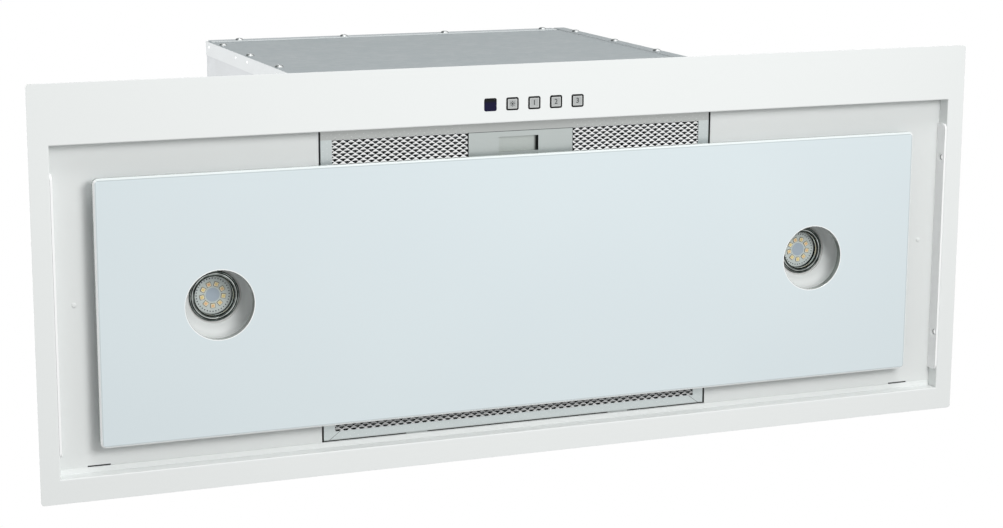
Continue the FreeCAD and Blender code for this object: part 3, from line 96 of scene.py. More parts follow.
# %% Node helpers
class Value:
    """A node's output that Python can do sums with."""

    def __init__(self, nodes, socket):
        self.nodes, self.socket = nodes, socket

    def sum(self, operation, a, b=0.0):
        return self.nodes.add("ShaderNodeMath", {"operation": operation}, {0: a, 1: b})

    def __add__(self, other):
        return self.sum("ADD", self, other)

    def __radd__(self, other):
        return self.sum("ADD", other, self)

    def __sub__(self, other):
        return self.sum("SUBTRACT", self, other)

    def __rsub__(self, other):
        return self.sum("SUBTRACT", other, self)

    def __mul__(self, other):
        return self.sum("MULTIPLY", self, other)

    def __rmul__(self, other):
        return self.sum("MULTIPLY", other, self)

    def __truediv__(self, other):
        return self.sum("DIVIDE", self, other)

    def __rtruediv__(self, other):
        return self.sum("DIVIDE", other, self)

    def __abs__(self):
        return self.sum("ABSOLUTE", self)

    def apply(self, operation, other=0.0):
        return self.sum(operation, self, other)

    def ramp(self, low, high, start=0.0, end=1.0):
        """A smooth rise from start to end while this value goes from low to high."""
        return self.nodes.add("ShaderNodeMapRange", {"interpolation_type": "SMOOTHSTEP"},
                              {0: self, 1: low, 2: high, 3: start, 4: end})

    def above(self, limit, soft):
        """1 above the limit and 0 below it, with a soft border."""
        return self.ramp(limit - soft, limit + soft)

    def below(self, limit, soft):
        """1 below the limit and 0 above it, with a soft border."""
        return self.ramp(limit - soft, limit + soft, 1.0, 0.0)

    def band(self, low, high, soft):
        """1 between low and high and 0 outside, with soft borders."""
        return self.above(low, soft) * self.below(high, soft)

    def spread(self, low, high):
        """Noise keeps mostly between 0.3 and 0.7; this spreads it from low to high."""
        return self.ramp(0.3, 0.7, low, high)


class Nodes:
    """A node tree, filled by add()."""

    def __init__(self, tree):
        self.tree = tree
        tree.nodes.clear()

    def add(self, kind, settings=None, feeds=None, output=0):
        made = self.tree.nodes.new(kind)
        for key, value in (settings or {}).items():
            setattr(made, key, value)
        for key, value in (feeds or {}).items():
            if isinstance(value, Value):
                self.tree.links.new(value.socket, made.inputs[key])
            else:
                made.inputs[key].default_value = value
        return Value(self, made.outputs[output] if len(made.outputs) else None)

    def place(self):
        """The point's own x, y and z, in metres."""
        where = self.add("ShaderNodeTexCoord", output="Object")
        split = self.add("ShaderNodeSeparateXYZ", feeds={0: where})
        return [Value(self, output) for output in split.socket.node.outputs]

    def noise(self, size_mm, detail=2.0, rough=0.5, stretch=(1, 1, 1)):
        """Soft noise from 0 to 1 with features of that size; stretch makes it longer along an axis."""
        where = self.add("ShaderNodeTexCoord", output="Object")
        scaled = self.add("ShaderNodeMapping", feeds={"Vector": where, "Scale": [1 / s for s in stretch]})
        return self.add("ShaderNodeTexNoise", feeds={"Vector": scaled, "Scale": 1 / (size_mm * MM),
                                                     "Detail": detail, "Roughness": rough})

    def mix(self, factor, a, b):
        """Colour a where factor is 0 and b where it is 1."""
        return self.add("ShaderNodeMix", {"data_type": "RGBA"}, {0: factor, 6: a, 7: b}, output=2)

    def distance(self, x, y):
        """How far a point is from an axis that it misses by x one way and by y the other."""
        return (x * x + y * y).apply("SQRT")

    def facing(self, direction):
        """1 where the surface faces within about 30 degrees of that way, 0 from about 60 degrees on."""
        normal = self.add("ShaderNodeNewGeometry", output="Normal")
        lean = self.add("ShaderNodeVectorMath", {"operation": "DOT_PRODUCT"}, {0: normal, 1: direction},
                        output="Value")
        return lean.ramp(0.45, 0.85)

    def level(self):
        """1 where the surface lies level, 0 where it stands as a wall."""
        normal = self.add("ShaderNodeNewGeometry", output="Normal")
        return abs(self.add("ShaderNodeSeparateXYZ", feeds={0: normal}, output=2))

    def looked_at(self):
        """1 for the rays of the camera, of mirrors and of clear glass, 0 for all other light."""
        camera_ray = self.add("ShaderNodeLightPath", output="Is Camera Ray")
        rays = camera_ray.socket.node.outputs
        seen = camera_ray.apply("MAXIMUM", Value(self, rays["Is Glossy Ray"]))
        return seen.apply("MAXIMUM", Value(self, rays["Is Transmission Ray"]))

    def bump(self, height, strength, depth_mm):
        return self.add("ShaderNodeBump", feeds={"Strength": strength, "Distance": depth_mm * MM,
                                                 "Height": height})


class Finish(Nodes):
    """A material: what changes over the surface is fed to surface(), and constants are set there."""

    def __init__(self, name):
        self.material = bpy.data.materials.new(name)
        self.material.use_nodes = True
        super().__init__(self.material.node_tree)

    def surface(self, **feeds):
        named = {key.replace("_", " "): value for key, value in feeds.items()}
        shader = self.add("ShaderNodeBsdfPrincipled", feeds=named)
        self.add("ShaderNodeOutputMaterial", feeds={"Surface": shader})
        return self

    def shaded(self, colour, shades):
        """Lays each shade over the colour where its own mask function says."""
        for mask, shade in shades:
            colour = self.mix(mask(self), colour, shade)
        return colour


def srgb(r, g, b):
    """A colour as a picture shows it, 0 to 255, as the linear colour a shader needs."""
    def linear(c):
        c /= 255
        return c / 12.92 if c <= 0.04045 else ((c + 0.055) / 1.055) ** 2.4
    return (linear(r), linear(g), linear(b), 1.0)


def dimmed(tone, share):
    return [c * share for c in tone[:3]] + [1.0]


print("node helpers ready")

# %% [markdown]
# ## Paints and glass
# The fascia, the recess floor and the lamp cups are powder coated: a warm white, satin, with the faint
# orange peel that sprayed powder leaves. Uneven roughness and a slight tone change keep it from looking
# plastic. The floor and the cups take darker copies of the white as painted shade, the side plates a paler
# copy as painted light. A finish can also shade a part of itself, where a mask function says: the coat of
# the side plates carries painted shade inside their fixing holes, whose places the record gives.

# %% Powder coat
HOLE_SHADE_MARGIN = 0.3


def powder_coat(name, tone, peel=0.10, roughness=0.34, shades=()):
    f = Finish(name)
    cloud = f.noise(90, detail=3)
    colour = f.shaded(f.mix(cloud, dimmed(tone, 0.985), tone), shades)
    return f.surface(Base_Color=colour, Roughness=cloud.spread(roughness - 0.03, roughness + 0.04),
                     Normal=f.bump(f.noise(1.3), peel, 0.03), IOR=1.5)


# Painted shade: the side plates' coat turns dark inside their fixing holes.
def in_fixing_holes(f):
    mounts = {mount["name"]: mount for mount in frame["record"]["mounts"]}
    fixing = mounts["cabinet_fixing_right"]
    _, middle, height = fixing["pos_m"]
    _, y, z = f.place()
    along = abs(y - middle) / MM - fixing["dims"]["spacing_x_mm"] / 2
    return f.distance(along, (z - height) / MM).below(fixing["dims"]["hole_r_mm"] + HOLE_SHADE_MARGIN, 0.2)


white_paint = powder_coat("white powder coat", srgb(234, 237, 236))
# Painted shade: the recess floor and the cups are darker copies of the white coat.
floor_paint = powder_coat("recess floor coat", srgb(225, 228, 227), roughness=0.42)
cup_paint = powder_coat("white cup enamel", srgb(220, 223, 222), peel=0.03, roughness=0.40)
# Painted light: the side plates take a paler copy of the white coat.
side_paint = powder_coat("side plate coat", srgb(253, 254, 254), shades=[(in_fixing_holes, srgb(30, 32, 32))])
print("coats:", [f.material.name for f in (white_paint, floor_paint, cup_paint, side_paint)])

# %% [markdown]
# The panel is toughened glass, painted on its back. Seen through 6 mm of glass the white turns a pale aqua,
# and the ground bevel along the edges is clearer than the face. Painting the glass as one glossy body, with
# the tone chosen by how far the surface leans, gives that at a fraction of the cost of real refraction. The
# bevels are painted bright as a highlight, a little less so on the front edge; a bright ring round each lamp
# hole is a painted highlight, and the hole's own wall carries painted shade. The bevel's reflection of itself
# is painted as a faint dark line just inside it.

# %% Back-painted glass
GLASS_MIDDLE, HOLE_R, HOLE_BACK, HOLE_HIGHLIGHT_RIM = -1.2, 30.4, 2.9, 1.0
BEVEL_INSIDE, BEVEL_LINE = 1.7, 0.7


def from_glass_edge(x, y):
    """How far a point lies inside the nearest edge of the panel, in mm."""
    low, high = box_mm("glass_panel")
    middle = middle_mm("glass_panel")
    inset_x = (high[0] - low[0]) / 2 - abs(x / MM - middle[0])
    return inset_x.apply("MINIMUM", (high[1] - low[1]) / 2 - abs(y / MM - middle[1]))


def painted_glass(name):
    f = Finish(name)
    x, y, _ = f.place()
    level, wave = f.level(), f.noise(160, detail=1)
    ring = middle_mm("lamp_ring_right")
    from_hole = f.distance(abs(x / MM - GLASS_MIDDLE) - ring[0], y / MM - ring[1] - HOLE_BACK)
    # Painted reflection: a faint dark line just inside the bevel, where it mirrors itself.
    bevel_reflection_line = from_glass_edge(x, y).band(BEVEL_INSIDE, BEVEL_INSIDE + BEVEL_LINE, 0.15) * 0.5
    face = f.mix(wave, srgb(213, 224, 228), srgb(217, 228, 231))
    face = f.mix(bevel_reflection_line, face, srgb(166, 176, 176))
    # Painted highlight: a bright ring round each lamp hole.
    face = f.mix(from_hole.below(HOLE_R + HOLE_HIGHLIGHT_RIM, 0.2), face, srgb(248, 251, 251))
    # Painted highlight: the bevels are bright, less so on the front edge that faces the lamps.
    bevel = f.mix(f.facing((0, -1, 0)), srgb(250, 253, 253), srgb(222, 231, 231))
    edge = f.mix(level.ramp(0.05, 0.6), srgb(168, 178, 174), bevel)
    # Painted shade: the glass's own wall inside each lamp hole is darker.
    edge = f.mix(from_hole.above(HOLE_R + 0.2, 0.1), srgb(140, 147, 143), edge)
    return f.surface(Base_Color=f.mix(level.ramp(0.9, 0.99), edge, face), Roughness=wave.spread(0.06, 0.10),
                     IOR=1.5, Coat_Weight=0.5, Coat_Roughness=0.02, Normal=f.bump(wave, 0.03, 0.05))


glass_white = painted_glass("back-painted glass")
print("glass:", glass_white.material.name)

# %% [markdown]
# ## Metals
# The housing is galvanised sheet: zinc crystals give faint patches with straight borders, which a Voronoi
# texture draws well. Cut edges that face the lamps catch more light, so a sheet can be paler on one side.

# %% Galvanised sheet
SPANGLE_MM = 7


def galvanised_sheet(name, tone, metallic=0.45, bright_side=None, bright_tone=None):
    """Zinc-coated sheet; faces towards bright_side, such as cut edges that catch the light, are paler."""
    f = Finish(name)
    where = f.add("ShaderNodeTexCoord", output="Object")
    spangle = f.add("ShaderNodeTexVoronoi", feeds={"Vector": where, "Scale": 1 / (SPANGLE_MM * MM)},
                    output="Color")
    patch = f.add("ShaderNodeSeparateColor", feeds={0: spangle})
    cloud = f.noise(45, detail=4)
    rolled = f.noise(1.6, stretch=(1, 1, 30))
    colour = f.mix(patch * 0.25 + cloud * 0.50 + rolled * 0.25, dimmed(tone, 0.86), tone)
    if bright_side:
        colour = f.mix(f.facing(bright_side), colour, bright_tone)
    return f.surface(Base_Color=colour, Metallic=metallic, Roughness=patch * 0.10 + cloud * 0.14 + 0.36,
                     Normal=f.bump(rolled * 0.4 + patch * 0.6, 0.05, 0.05))


galvanised = galvanised_sheet("galvanised sheet", srgb(201, 204, 206), metallic=0.3)
# Painted shade: a darker copy of the galvanised sheet for the housing's front; its faces towards -X are
# painted paler as light.
front_sheet = galvanised_sheet("passivated front sheet", srgb(160, 170, 173), metallic=0.3,
                               bright_side=(-1, 0, 0), bright_tone=srgb(206, 209, 210))
top_sheet = galvanised_sheet("galvanised top sheet", srgb(186, 194, 197), metallic=0.3,
                             bright_side=(0, 0, -1), bright_tone=srgb(244, 247, 247))
inner_sheet = galvanised_sheet("inner galvanised sheet", srgb(186, 192, 194))
# Painted shade: a near-black sheet for the filter seat, the compartment wall and the slot tabs, which sit in
# shade.
shade_sheet = galvanised_sheet("blackened seat sheet", srgb(44, 46, 47), metallic=0.2)
print("sheets:", galvanised.material.name, front_sheet.material.name, top_sheet.material.name)

# %% [markdown]
# Rolled aluminium has fine lines along one axis, so its noise is stretched along it. The filter's frame is
# mitred from four rails, with a dark cut line from corner to corner; the front and rear rails are painted
# darker as shade. The handle plate meets the front rail in an open seam that is painted dark as shade, the
# plate's upright walls are painted dark as shade, and painted shade lies along the edges of the pull's
# pocket.

# %% Aluminium
PLATE_FRONT = box_mm("filter_handle_plate")[0][1]
PULL_LAP = 1.5
SIDE_RAIL, REAR_RAIL, MITRE_SOFT, MITRE_TONE = 10.5, 8.0, 0.05, 0.7


def rolled_aluminium(name, tone, lengthwise=(40, 1, 1), metallic=0.55, roughness=0.34, shades=()):
    f = Finish(name)
    lines = f.noise(0.9, detail=3, rough=0.6, stretch=lengthwise)
    cloud = f.noise(30, detail=3)
    colour = f.mix(lines * 0.5 + cloud * 0.5, dimmed(tone, 0.90), tone)
    return f.surface(Base_Color=f.shaded(colour, shades), Metallic=metallic,
                     Roughness=lines * 0.12 + (roughness - 0.06), Normal=f.bump(lines, 0.06, 0.03))


# Painted shade: the front rail, under the fascia's flange, is darker.
def at_front_rail(f):
    return (f.place()[1] / MM).below(PLATE_FRONT, 0.3)


# Painted shade: the rear rail is darker.
def at_rear_rail(f):
    return (f.place()[1] / MM).above(box_mm("filter_mesh")[1][1], 0.3)


def at_rear_mitres(f):
    """The two cut lines where the rear rail meets the side rails, from corner to corner."""
    low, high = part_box("filter_frame")
    x, y, _ = f.place()
    from_side = ((high[0] - low[0]) / 2 - abs(x - (low[0] + high[0]) / 2)) / MM / SIDE_RAIL
    from_rear = (high[1] - y) / MM / REAR_RAIL
    return abs(from_side - from_rear).ramp(MITRE_SOFT / 2, MITRE_SOFT, 1.0, 0.0) * MITRE_TONE


def at_seam(f):
    """The open joint between the front rail and the handle plate, painted dark as the shade in it."""
    return (f.place()[1] / MM).below(PLATE_FRONT + 0.55, 0.15)


# Painted shade: the handle plate's upright walls, round the pocket's mouth, are dark.
def on_cut_edges(f):
    return f.level().below(0.45, 0.15)


def shade_by_pocket_edge(f):
    """Painted shade along the pocket's front and right edges."""
    low, high = box_mm("filter_pull")
    x, y, _ = f.place()
    at_right = (x / MM).above(high[0] - PULL_LAP - 2.0, 1.5)
    return at_right.apply("MAXIMUM", (y / MM).below(low[1] + PULL_LAP + 1.7, 0.5))


RAIL_SHADES = [(at_front_rail, srgb(191, 194, 192)), (at_rear_rail, srgb(200, 206, 205)),
               (at_rear_mitres, srgb(70, 74, 74))]
PLATE_SHADES = [(at_seam, srgb(92, 96, 95)), (on_cut_edges, srgb(44, 48, 46))]
PULL_SHADES = [(shade_by_pocket_edge, srgb(84, 90, 86))]
aluminium = rolled_aluminium("filter aluminium", srgb(214, 222, 222), shades=RAIL_SHADES)
plate_aluminium = rolled_aluminium("handle plate aluminium", srgb(202, 209, 207), shades=PLATE_SHADES)
pull_aluminium = rolled_aluminium("pull aluminium", srgb(200, 207, 203), shades=PULL_SHADES)
# Painted sheen: the expanded metal is near-white and not metallic, standing in for the strands' bright sheen.
mesh_aluminium = rolled_aluminium("expanded aluminium", srgb(253, 254, 254), lengthwise=(1, 1, 1),
                                  metallic=0.0, roughness=0.36)
print("aluminium:", aluminium.material.name, mesh_aluminium.material.name)

# %% [markdown]
# Screws, pins and arms are steel with a thin bright plating, a little cloudy. A screw's head is so small that
# its shoulders only mirror the dark of the room and its middle the lamps, so the finish draws just those two.

# %% Plated steel
def plated_steel(name, tone, metallic=0.9, roughness=0.25):
    f = Finish(name)
    cloud = f.noise(6, detail=3)
    return f.surface(Base_Color=f.mix(cloud, dimmed(tone, 0.85), tone), Metallic=metallic,
                     Roughness=cloud.spread(roughness - 0.06, roughness + 0.08))


def screw_plating(name):
    f = Finish(name)
    cloud = f.noise(3)
    flank = f.mix(cloud, srgb(232, 236, 236), srgb(250, 252, 252))
    shoulders = f.facing((0.8, -0.6, 0)) + f.facing((-0.8, -0.6, 0))
    return f.surface(Base_Color=f.mix(shoulders, flank, srgb(92, 98, 98)), Metallic=0.5,
                     Roughness=cloud.spread(0.16, 0.28))


zinc_steel = plated_steel("zinc-plated steel", srgb(205, 206, 204))
screw_steel = screw_plating("bright screw heads")
# Painted highlight: the clinch domes take a paler copy of the plating.
clinch_zinc = plated_steel("bright clinched zinc", srgb(244, 247, 247), metallic=0.3)
print("plated steel:", zinc_steel.material.name, screw_steel.material.name)

# %% [markdown]
# The filter's core is layer on layer of fine mesh. Between the bright strands of the outer layer it reads as
# nearly black with a few glints, so its colour is dark, a painted shade, with thin bright lines where Voronoi
# cells meet as painted glints.

# %% Filter core
CORE_CELL_MM = 2.6


def filter_core(name):
    f = Finish(name)
    where = f.add("ShaderNodeTexCoord", output="Object")
    gap = f.add("ShaderNodeTexVoronoi", {"feature": "DISTANCE_TO_EDGE"},
                {"Vector": where, "Scale": 1 / (CORE_CELL_MM * MM)})
    strand = gap.ramp(0.02, 0.10, 1.0, 0.0)
    # Painted shade and glints: near black, with thin bright lines between cells.
    return f.surface(Base_Color=f.mix(strand, srgb(6, 7, 8), srgb(84, 88, 90)), Metallic=0.4,
                     Roughness=strand.ramp(0, 1, 0.7, 0.35), Normal=f.bump(strand, 0.5, 0.4))


core = filter_core("filter core")
print("core:", core.material.name)

# %% [markdown]
# ## Plastics and lamp parts
# Moulded plastic has a fine spark-eroded grain, and most colours below are one recipe with its own tone. Two
# pieces differ: the key caps carry painted shade down their sides, with a painted highlight as a light line
# along the edge, and the infrared window turns from black to navy.

# %% Plastics
def moulded(name, tone, roughness=0.5, grain_mm=0.5, grain=0.12, coat=0.0, shine=0.5):
    f = Finish(name)
    fine = f.noise(grain_mm)
    colour = f.mix(f.noise(25), dimmed(tone, 0.92), tone)
    return f.surface(Base_Color=colour, Normal=f.bump(fine, grain, 0.03), Coat_Weight=coat,
                     Specular_IOR_Level=shine, Roughness=fine.spread(roughness - 0.05, roughness + 0.05))


KEY_HALF = (4.8, 4.65)


def key_caps(name):
    """Grey key caps: painted shade down their sides, with a painted highlight as a light line just inside the
    rounded edge.
    """
    f = Finish(name)
    x, y, _ = f.place()
    one, two = middle_mm("button_speed_1"), middle_mm("button_speed_2")
    pitch = two[0] - one[0]
    across = abs(((x / MM - one[0]) / pitch + 0.5).apply("FRACT") - 0.5) * pitch
    inset = (KEY_HALF[0] - across).apply("MINIMUM", KEY_HALF[1] - abs(y / MM - one[1]))
    fine = f.noise(0.7)
    colour = f.mix(fine, srgb(158, 162, 161), srgb(188, 191, 190))
    # Painted highlight: a light line just inside the cap's edge.
    colour = f.mix(inset.band(0.5, 0.85, 0.12), colour, srgb(216, 218, 217))
    # Painted shade: a dark border down the cap's sides.
    colour = f.mix(inset.ramp(0.25, 0.5, 1.0, 0.0), colour, srgb(36, 39, 39))
    return f.surface(Base_Color=colour, Roughness=fine.spread(0.34, 0.44), Normal=f.bump(fine, 0.1, 0.03))


def sensor_cover(name):
    """Infrared plastic: black where it curves over at its front edge, deep navy over its face."""
    f = Finish(name)
    _, y, _ = f.place()
    low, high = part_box("sensor_window")
    depth = (y - low[1]) / (high[1] - low[1])
    cloud = f.noise(4)
    navy = f.mix(cloud, srgb(16, 14, 44), srgb(26, 24, 56))
    colour = f.mix(depth.above(0.30, 0.15), srgb(22, 23, 24), navy)
    return f.surface(Base_Color=colour, Specular_IOR_Level=0.15, Roughness=cloud.spread(0.28, 0.36))


black_plastic = moulded("black plastic", srgb(34, 35, 36))
bezel_plastic = moulded("dark bezel plastic", srgb(12, 15, 14), roughness=0.6, shine=0.15)
key_plastic = key_caps("grey key caps")
mark_ink = moulded("dark mark ink", srgb(58, 62, 62), roughness=0.6)
grey_plastic = moulded("grey plastic", srgb(168, 170, 172))
white_plastic = moulded("white plastic", srgb(226, 226, 222))
sensor_plastic = sensor_cover("infrared window")
foam = moulded("foam tape", srgb(52, 52, 54), roughness=0.85, grain_mm=0.7, grain=0.6)
ferrite = moulded("catch magnet", srgb(58, 58, 60), roughness=0.55)
motor_paint = moulded("motor casing", srgb(96, 98, 100), roughness=0.45, grain_mm=1.2, grain=0.25)
board_lacquer = moulded("circuit board", srgb(38, 96, 58), roughness=0.3)
lamp_casting = moulded("lamp heat sink", srgb(214, 214, 212), roughness=0.45, grain_mm=0.9, grain=0.2)
print("plastics:", black_plastic.material.name, key_plastic.material.name, sensor_plastic.material.name)

# %% [markdown]
# The lamps' rings are chrome with turned steps, which mirror dark and light in narrow bands. The bands are
# drawn by the distance from the lamp's axis, because the room that they mirror isn't modelled. The board is
# lacquered, and each chip lies under a yellow gel.

# %% Lamp face finishes
RING_BANDS = ((22.1, 23.0, (48, 56, 54)), (20.2, 20.95, (14, 18, 17)), (19.25, 20.2, (206, 211, 208)),
              (17.45, 18.35, (12, 16, 15)))
BORE_R, BORE_LIT = 17.4, 3.4


def ring_chrome(name):
    f = Finish(name)
    x, y, z = f.place()
    centre = middle_mm("lamp_ring_right")
    radius = f.distance(abs(x / MM) - centre[0], y / MM - centre[1])
    colour = f.mix(f.noise(7).ramp(0.35, 0.65), srgb(84, 94, 90), srgb(150, 158, 154))
    for inner, outer, tone in RING_BANDS:
        colour = f.mix(radius.band(inner, outer, 0.12), colour, srgb(*tone))
    # Painted reflection: soft dark patches over the chrome.
    shade = f.noise(11, detail=1).ramp(0.42, 0.58)
    colour = f.mix(shade * 0.45, colour, srgb(26, 32, 30))
    # Painted light and shade: the bore is bright near its mouth and dark deeper in.
    depth = z / MM - box_mm("lamp_ring_right")[0][2]
    bore = f.mix(depth.above(BORE_LIT, 0.4), srgb(224, 230, 227), srgb(16, 20, 19))
    colour = f.mix(radius.above(BORE_R, 0.1), bore, colour)
    return f.surface(Base_Color=colour, Metallic=1.0, Roughness=shade.ramp(0.0, 1.0, 0.10, 0.16))


def phosphor_gel(name):
    """The yellow gel over each chip, from orange to lemon between one chip and the next."""
    f = Finish(name)
    shift = f.noise(9, detail=1).ramp(0.38, 0.62)
    return f.surface(Base_Color=f.mix(shift, srgb(240, 190, 142), srgb(236, 216, 140)), Coat_Weight=0.4,
                     Roughness=f.noise(0.6).spread(0.3, 0.4))


def lens_board(name):
    f = Finish(name)
    cloud = f.noise(5, detail=3)
    return f.surface(Base_Color=f.mix(cloud, srgb(192, 203, 200), srgb(214, 221, 217)), Coat_Weight=0.7,
                     Coat_Roughness=0.05, Roughness=cloud.spread(0.3, 0.45))


chrome = ring_chrome("ring chrome")
lens = lens_board("lamp board")
lens_centre = moulded("lamp board centre", srgb(172, 186, 198), roughness=0.35, coat=0.5)
dot_ink = moulded("lamp board dots", srgb(26, 34, 60), roughness=0.4)
phosphor = phosphor_gel("warm phosphor")
chip_body = moulded("chip body", srgb(250, 238, 204), roughness=0.35)
# Painted shade: a dark rim under each chip.
chip_shadow = moulded("chip solder edge", srgb(62, 50, 44), roughness=0.5)
print("materials:", len(bpy.data.materials))

# %% [markdown]
# ## Finishes for the CAD nodes
# The record gives each CAD node a material slot. One table turns slots into finishes, so a node that is added
# later is dressed too; a second table names the few nodes that differ from their slot.

# %% Dress the CAD nodes
BY_SLOT = {
    "white_paint": white_paint, "galvanised": galvanised, "zinc_steel": zinc_steel, "aluminium": aluminium,
    "white_glass": glass_white, "foam_tape": foam, "magnet": ferrite, "chrome_trim": chrome,
    "lens_board": lens, "led_chip": phosphor, "lamp_casting": lamp_casting, "black_plastic": black_plastic,
    "grey_plastic": grey_plastic, "white_plastic": white_plastic, "dark_window": sensor_plastic,
    "grey_keys": key_plastic, "circuit_board": board_lacquer, "motor_casing": motor_paint,
}
BY_NODE = {
    "housing_front_panel": front_sheet, "housing_top_panel": top_sheet, "carrier_plate": floor_paint,
    "floor_rivets": floor_paint, "lamp_cup_left": cup_paint, "lamp_cup_right": cup_paint, "filter_pack": core,
    "filter_back_mesh": core, "keypad_housing": bezel_plastic, "filter_seat": shade_sheet,
    "compartment_wall": shade_sheet, "panel_tray": inner_sheet, "side_plate_left": side_paint,
    "side_plate_right": side_paint, "filter_handle_plate": plate_aluminium, "filter_pull": pull_aluminium,
}


def dress(obj, finish):
    obj.data.materials.clear()
    obj.data.materials.append(finish.material)


slot_of = {part["node"]: part["material_slot"] for part in frame["record"]["subparts"]}
for node_name, node in nodes.items():
    dress(node, BY_NODE.get(node_name) or BY_SLOT[slot_of[node_name]])
print("dressed", len(slot_of), "CAD nodes")

# %% [markdown]
# ## Mesh helpers
# Most of what follows is either turned on a lathe or stamped out of sheet, so two builders do most of the
# work: one turns a profile about an axis, the other gives an outline its thickness.

# %% Mesh helpers
def piece(name, mesh_builder, finish, body, replaces=(), smooth_below=30):
    """A finished object from a bmesh: it rides on a CAD body and may stand for CAD nodes."""
    bmesh.ops.recalc_face_normals(mesh_builder, faces=mesh_builder.faces)
    mesh = bpy.data.meshes.new(name)
    mesh_builder.to_mesh(mesh)
    mesh_builder.free()
    mesh.materials.append(finish.material)
    mesh.shade_smooth()
    mesh.set_sharp_from_angle(angle=math.radians(smooth_below))
    made = bpy.data.objects.new(name, mesh)
    bpy.context.scene.collection.objects.link(made)
    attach(made, body)
    if replaces:
        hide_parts(*replaces)
    return made


def skin(bm, one, two):
    """Faces all round between two rings of as many points."""
    for i in range(len(one)):
        j = (i + 1) % len(one)
        bm.faces.new((one[i], one[j], two[j], two[i]))


def turned(bm, profile, x, y, steps=96):
    """Turns a closed (radius, height) profile, in mm, about a vertical axis at x, y."""
    rings = []
    for radius, height in profile:
        ring = [bm.verts.new(Vector((x + radius * math.cos(a), y + radius * math.sin(a), height)) * MM)
                for a in (2 * math.pi * i / steps for i in range(steps))]
        rings.append(ring)
    for one, two in zip(rings, rings[1:] + rings[:1]):
        skin(bm, one, two)
    return bm


def prism(bm, outline, z0, z1):
    """A flat plate from an outline of (x, y) points, in mm, between two heights."""
    low = [bm.verts.new(Vector((x, y, z0)) * MM) for x, y in outline]
    high = [bm.verts.new(Vector((x, y, z1)) * MM) for x, y in outline]
    bm.faces.new(low)
    bm.faces.new(high[::-1])
    skin(bm, low, high)
    return bm


def circle_points(x, y, radius, count, start=0.0):
    return [(x + radius * math.cos(start + 2 * math.pi * i / count),
             y + radius * math.sin(start + 2 * math.pi * i / count)) for i in range(count)]


def rounded_rectangle(x0, x1, y0, y1, radius, steps=5):
    points = []
    corners = ((x1 - radius, y1 - radius, 0), (x0 + radius, y1 - radius, 90),
               (x0 + radius, y0 + radius, 180), (x1 - radius, y0 + radius, 270))
    for cx, cy, first in corners:
        for i in range(steps + 1):
            angle = math.radians(first + 90 * i / steps)
            points.append((cx + radius * math.cos(angle), cy + radius * math.sin(angle)))
    return points


print("mesh helpers ready")

# %% [markdown]
# ## The filter's expanded metal
# Expanded metal starts as one sheet. A press slits it and pulls it open, so it becomes strips that zigzag
# from one bond to the next, all leaning the same way: one edge stands proud and the other lies deep. A
# texture would look flat here, so every strip is a real leaning ribbon. It is the near half of one bond, then
# the far half of the next, and the bonds overlap by themselves.

# %% Expanded metal
MESH_LONG, MESH_SHORT = 7.5, 4.7
STRIP_WIDE, STRIP_THICK, STRIP_LEAN, BOND = 2.3, 0.32, math.radians(40), 0.9
MESH_LIFT, EDGE_GAP = 0.7, 0.8
LEAN_WAY = Vector((0, math.cos(STRIP_LEAN), -math.sin(STRIP_LEAN)))
ACROSS_LEAN = Vector((0, math.sin(STRIP_LEAN), math.cos(STRIP_LEAN)))
SWING_Y = (MESH_SHORT / 2 - STRIP_WIDE * LEAN_WAY.y) / 2
SWING_Z = STRIP_WIDE * LEAN_WAY.z / 2


def strip_centres(x0, x1, y, z, first):
    """Points along one strip: a short flat at each bond, then a sloping span; the last span is cut at x1."""
    points, side, x = [], first, x0
    while x < x1:
        swing = Vector((0, side * SWING_Y, -side * SWING_Z))
        points += [Vector((x + end, y, z)) + swing for end in (0.0, BOND)]
        x += MESH_LONG / 2
        side = -side
    points.append(Vector((x, y, z)) + Vector((0, side * SWING_Y, -side * SWING_Z)))
    kept = [point for point in points if point.x < x1]
    last, beyond = kept[-1], points[len(kept)]
    return kept + [last.lerp(beyond, (x1 - last.x) / (beyond.x - last.x))]


def ribbon(bm, centres):
    """A leaning ribbon of four faces between each two of its centres, closed at both ends."""
    wide, thick = LEAN_WAY * (STRIP_WIDE / 2), ACROSS_LEAN * (STRIP_THICK / 2)
    rings = [[bm.verts.new((c + a * wide + b * thick) * MM) for a, b in ((-1, -1), (1, -1), (1, 1), (-1, 1))]
             for c in centres]
    for one, two in zip(rings, rings[1:]):
        skin(bm, one, two)
    bm.faces.new(rings[0][::-1])
    bm.faces.new(rings[-1])


def expanded_metal(bm, x0, x1, y0, y1, z):
    """Fills a rectangle with strips, and says how many rows fitted in."""
    rows = int((y1 - y0) / (MESH_SHORT / 2))
    for row in range(rows):
        ribbon(bm, strip_centres(x0, x1, y0 + (row + 0.5) * MESH_SHORT / 2, z, 1 if row % 2 else -1))
    return rows


mesh_low, mesh_high = box_mm("filter_mesh")
plate_low, plate_high = box_mm("filter_handle_plate")
mesh_z = mesh_low[2] + MESH_LIFT
mesh_left, mesh_right = mesh_low[0] + EDGE_GAP, mesh_high[0] - EDGE_GAP
mesh_front, mesh_rear = mesh_low[1] + EDGE_GAP, mesh_high[1] - EDGE_GAP
lattice = bmesh.new()
rows = expanded_metal(lattice, mesh_left, plate_low[0] - EDGE_GAP, mesh_front, plate_high[1], mesh_z)
expanded_metal(lattice, plate_high[0] + EDGE_GAP, mesh_right, mesh_front, plate_high[1], mesh_z)
expanded_metal(lattice, mesh_left, mesh_right, mesh_front + rows * MESH_SHORT / 2, mesh_rear, mesh_z)
front_mesh = piece("filter_front_mesh", lattice, mesh_aluminium, "hood", ["filter_mesh"])
print("lattice faces:", len(front_mesh.data.polygons))

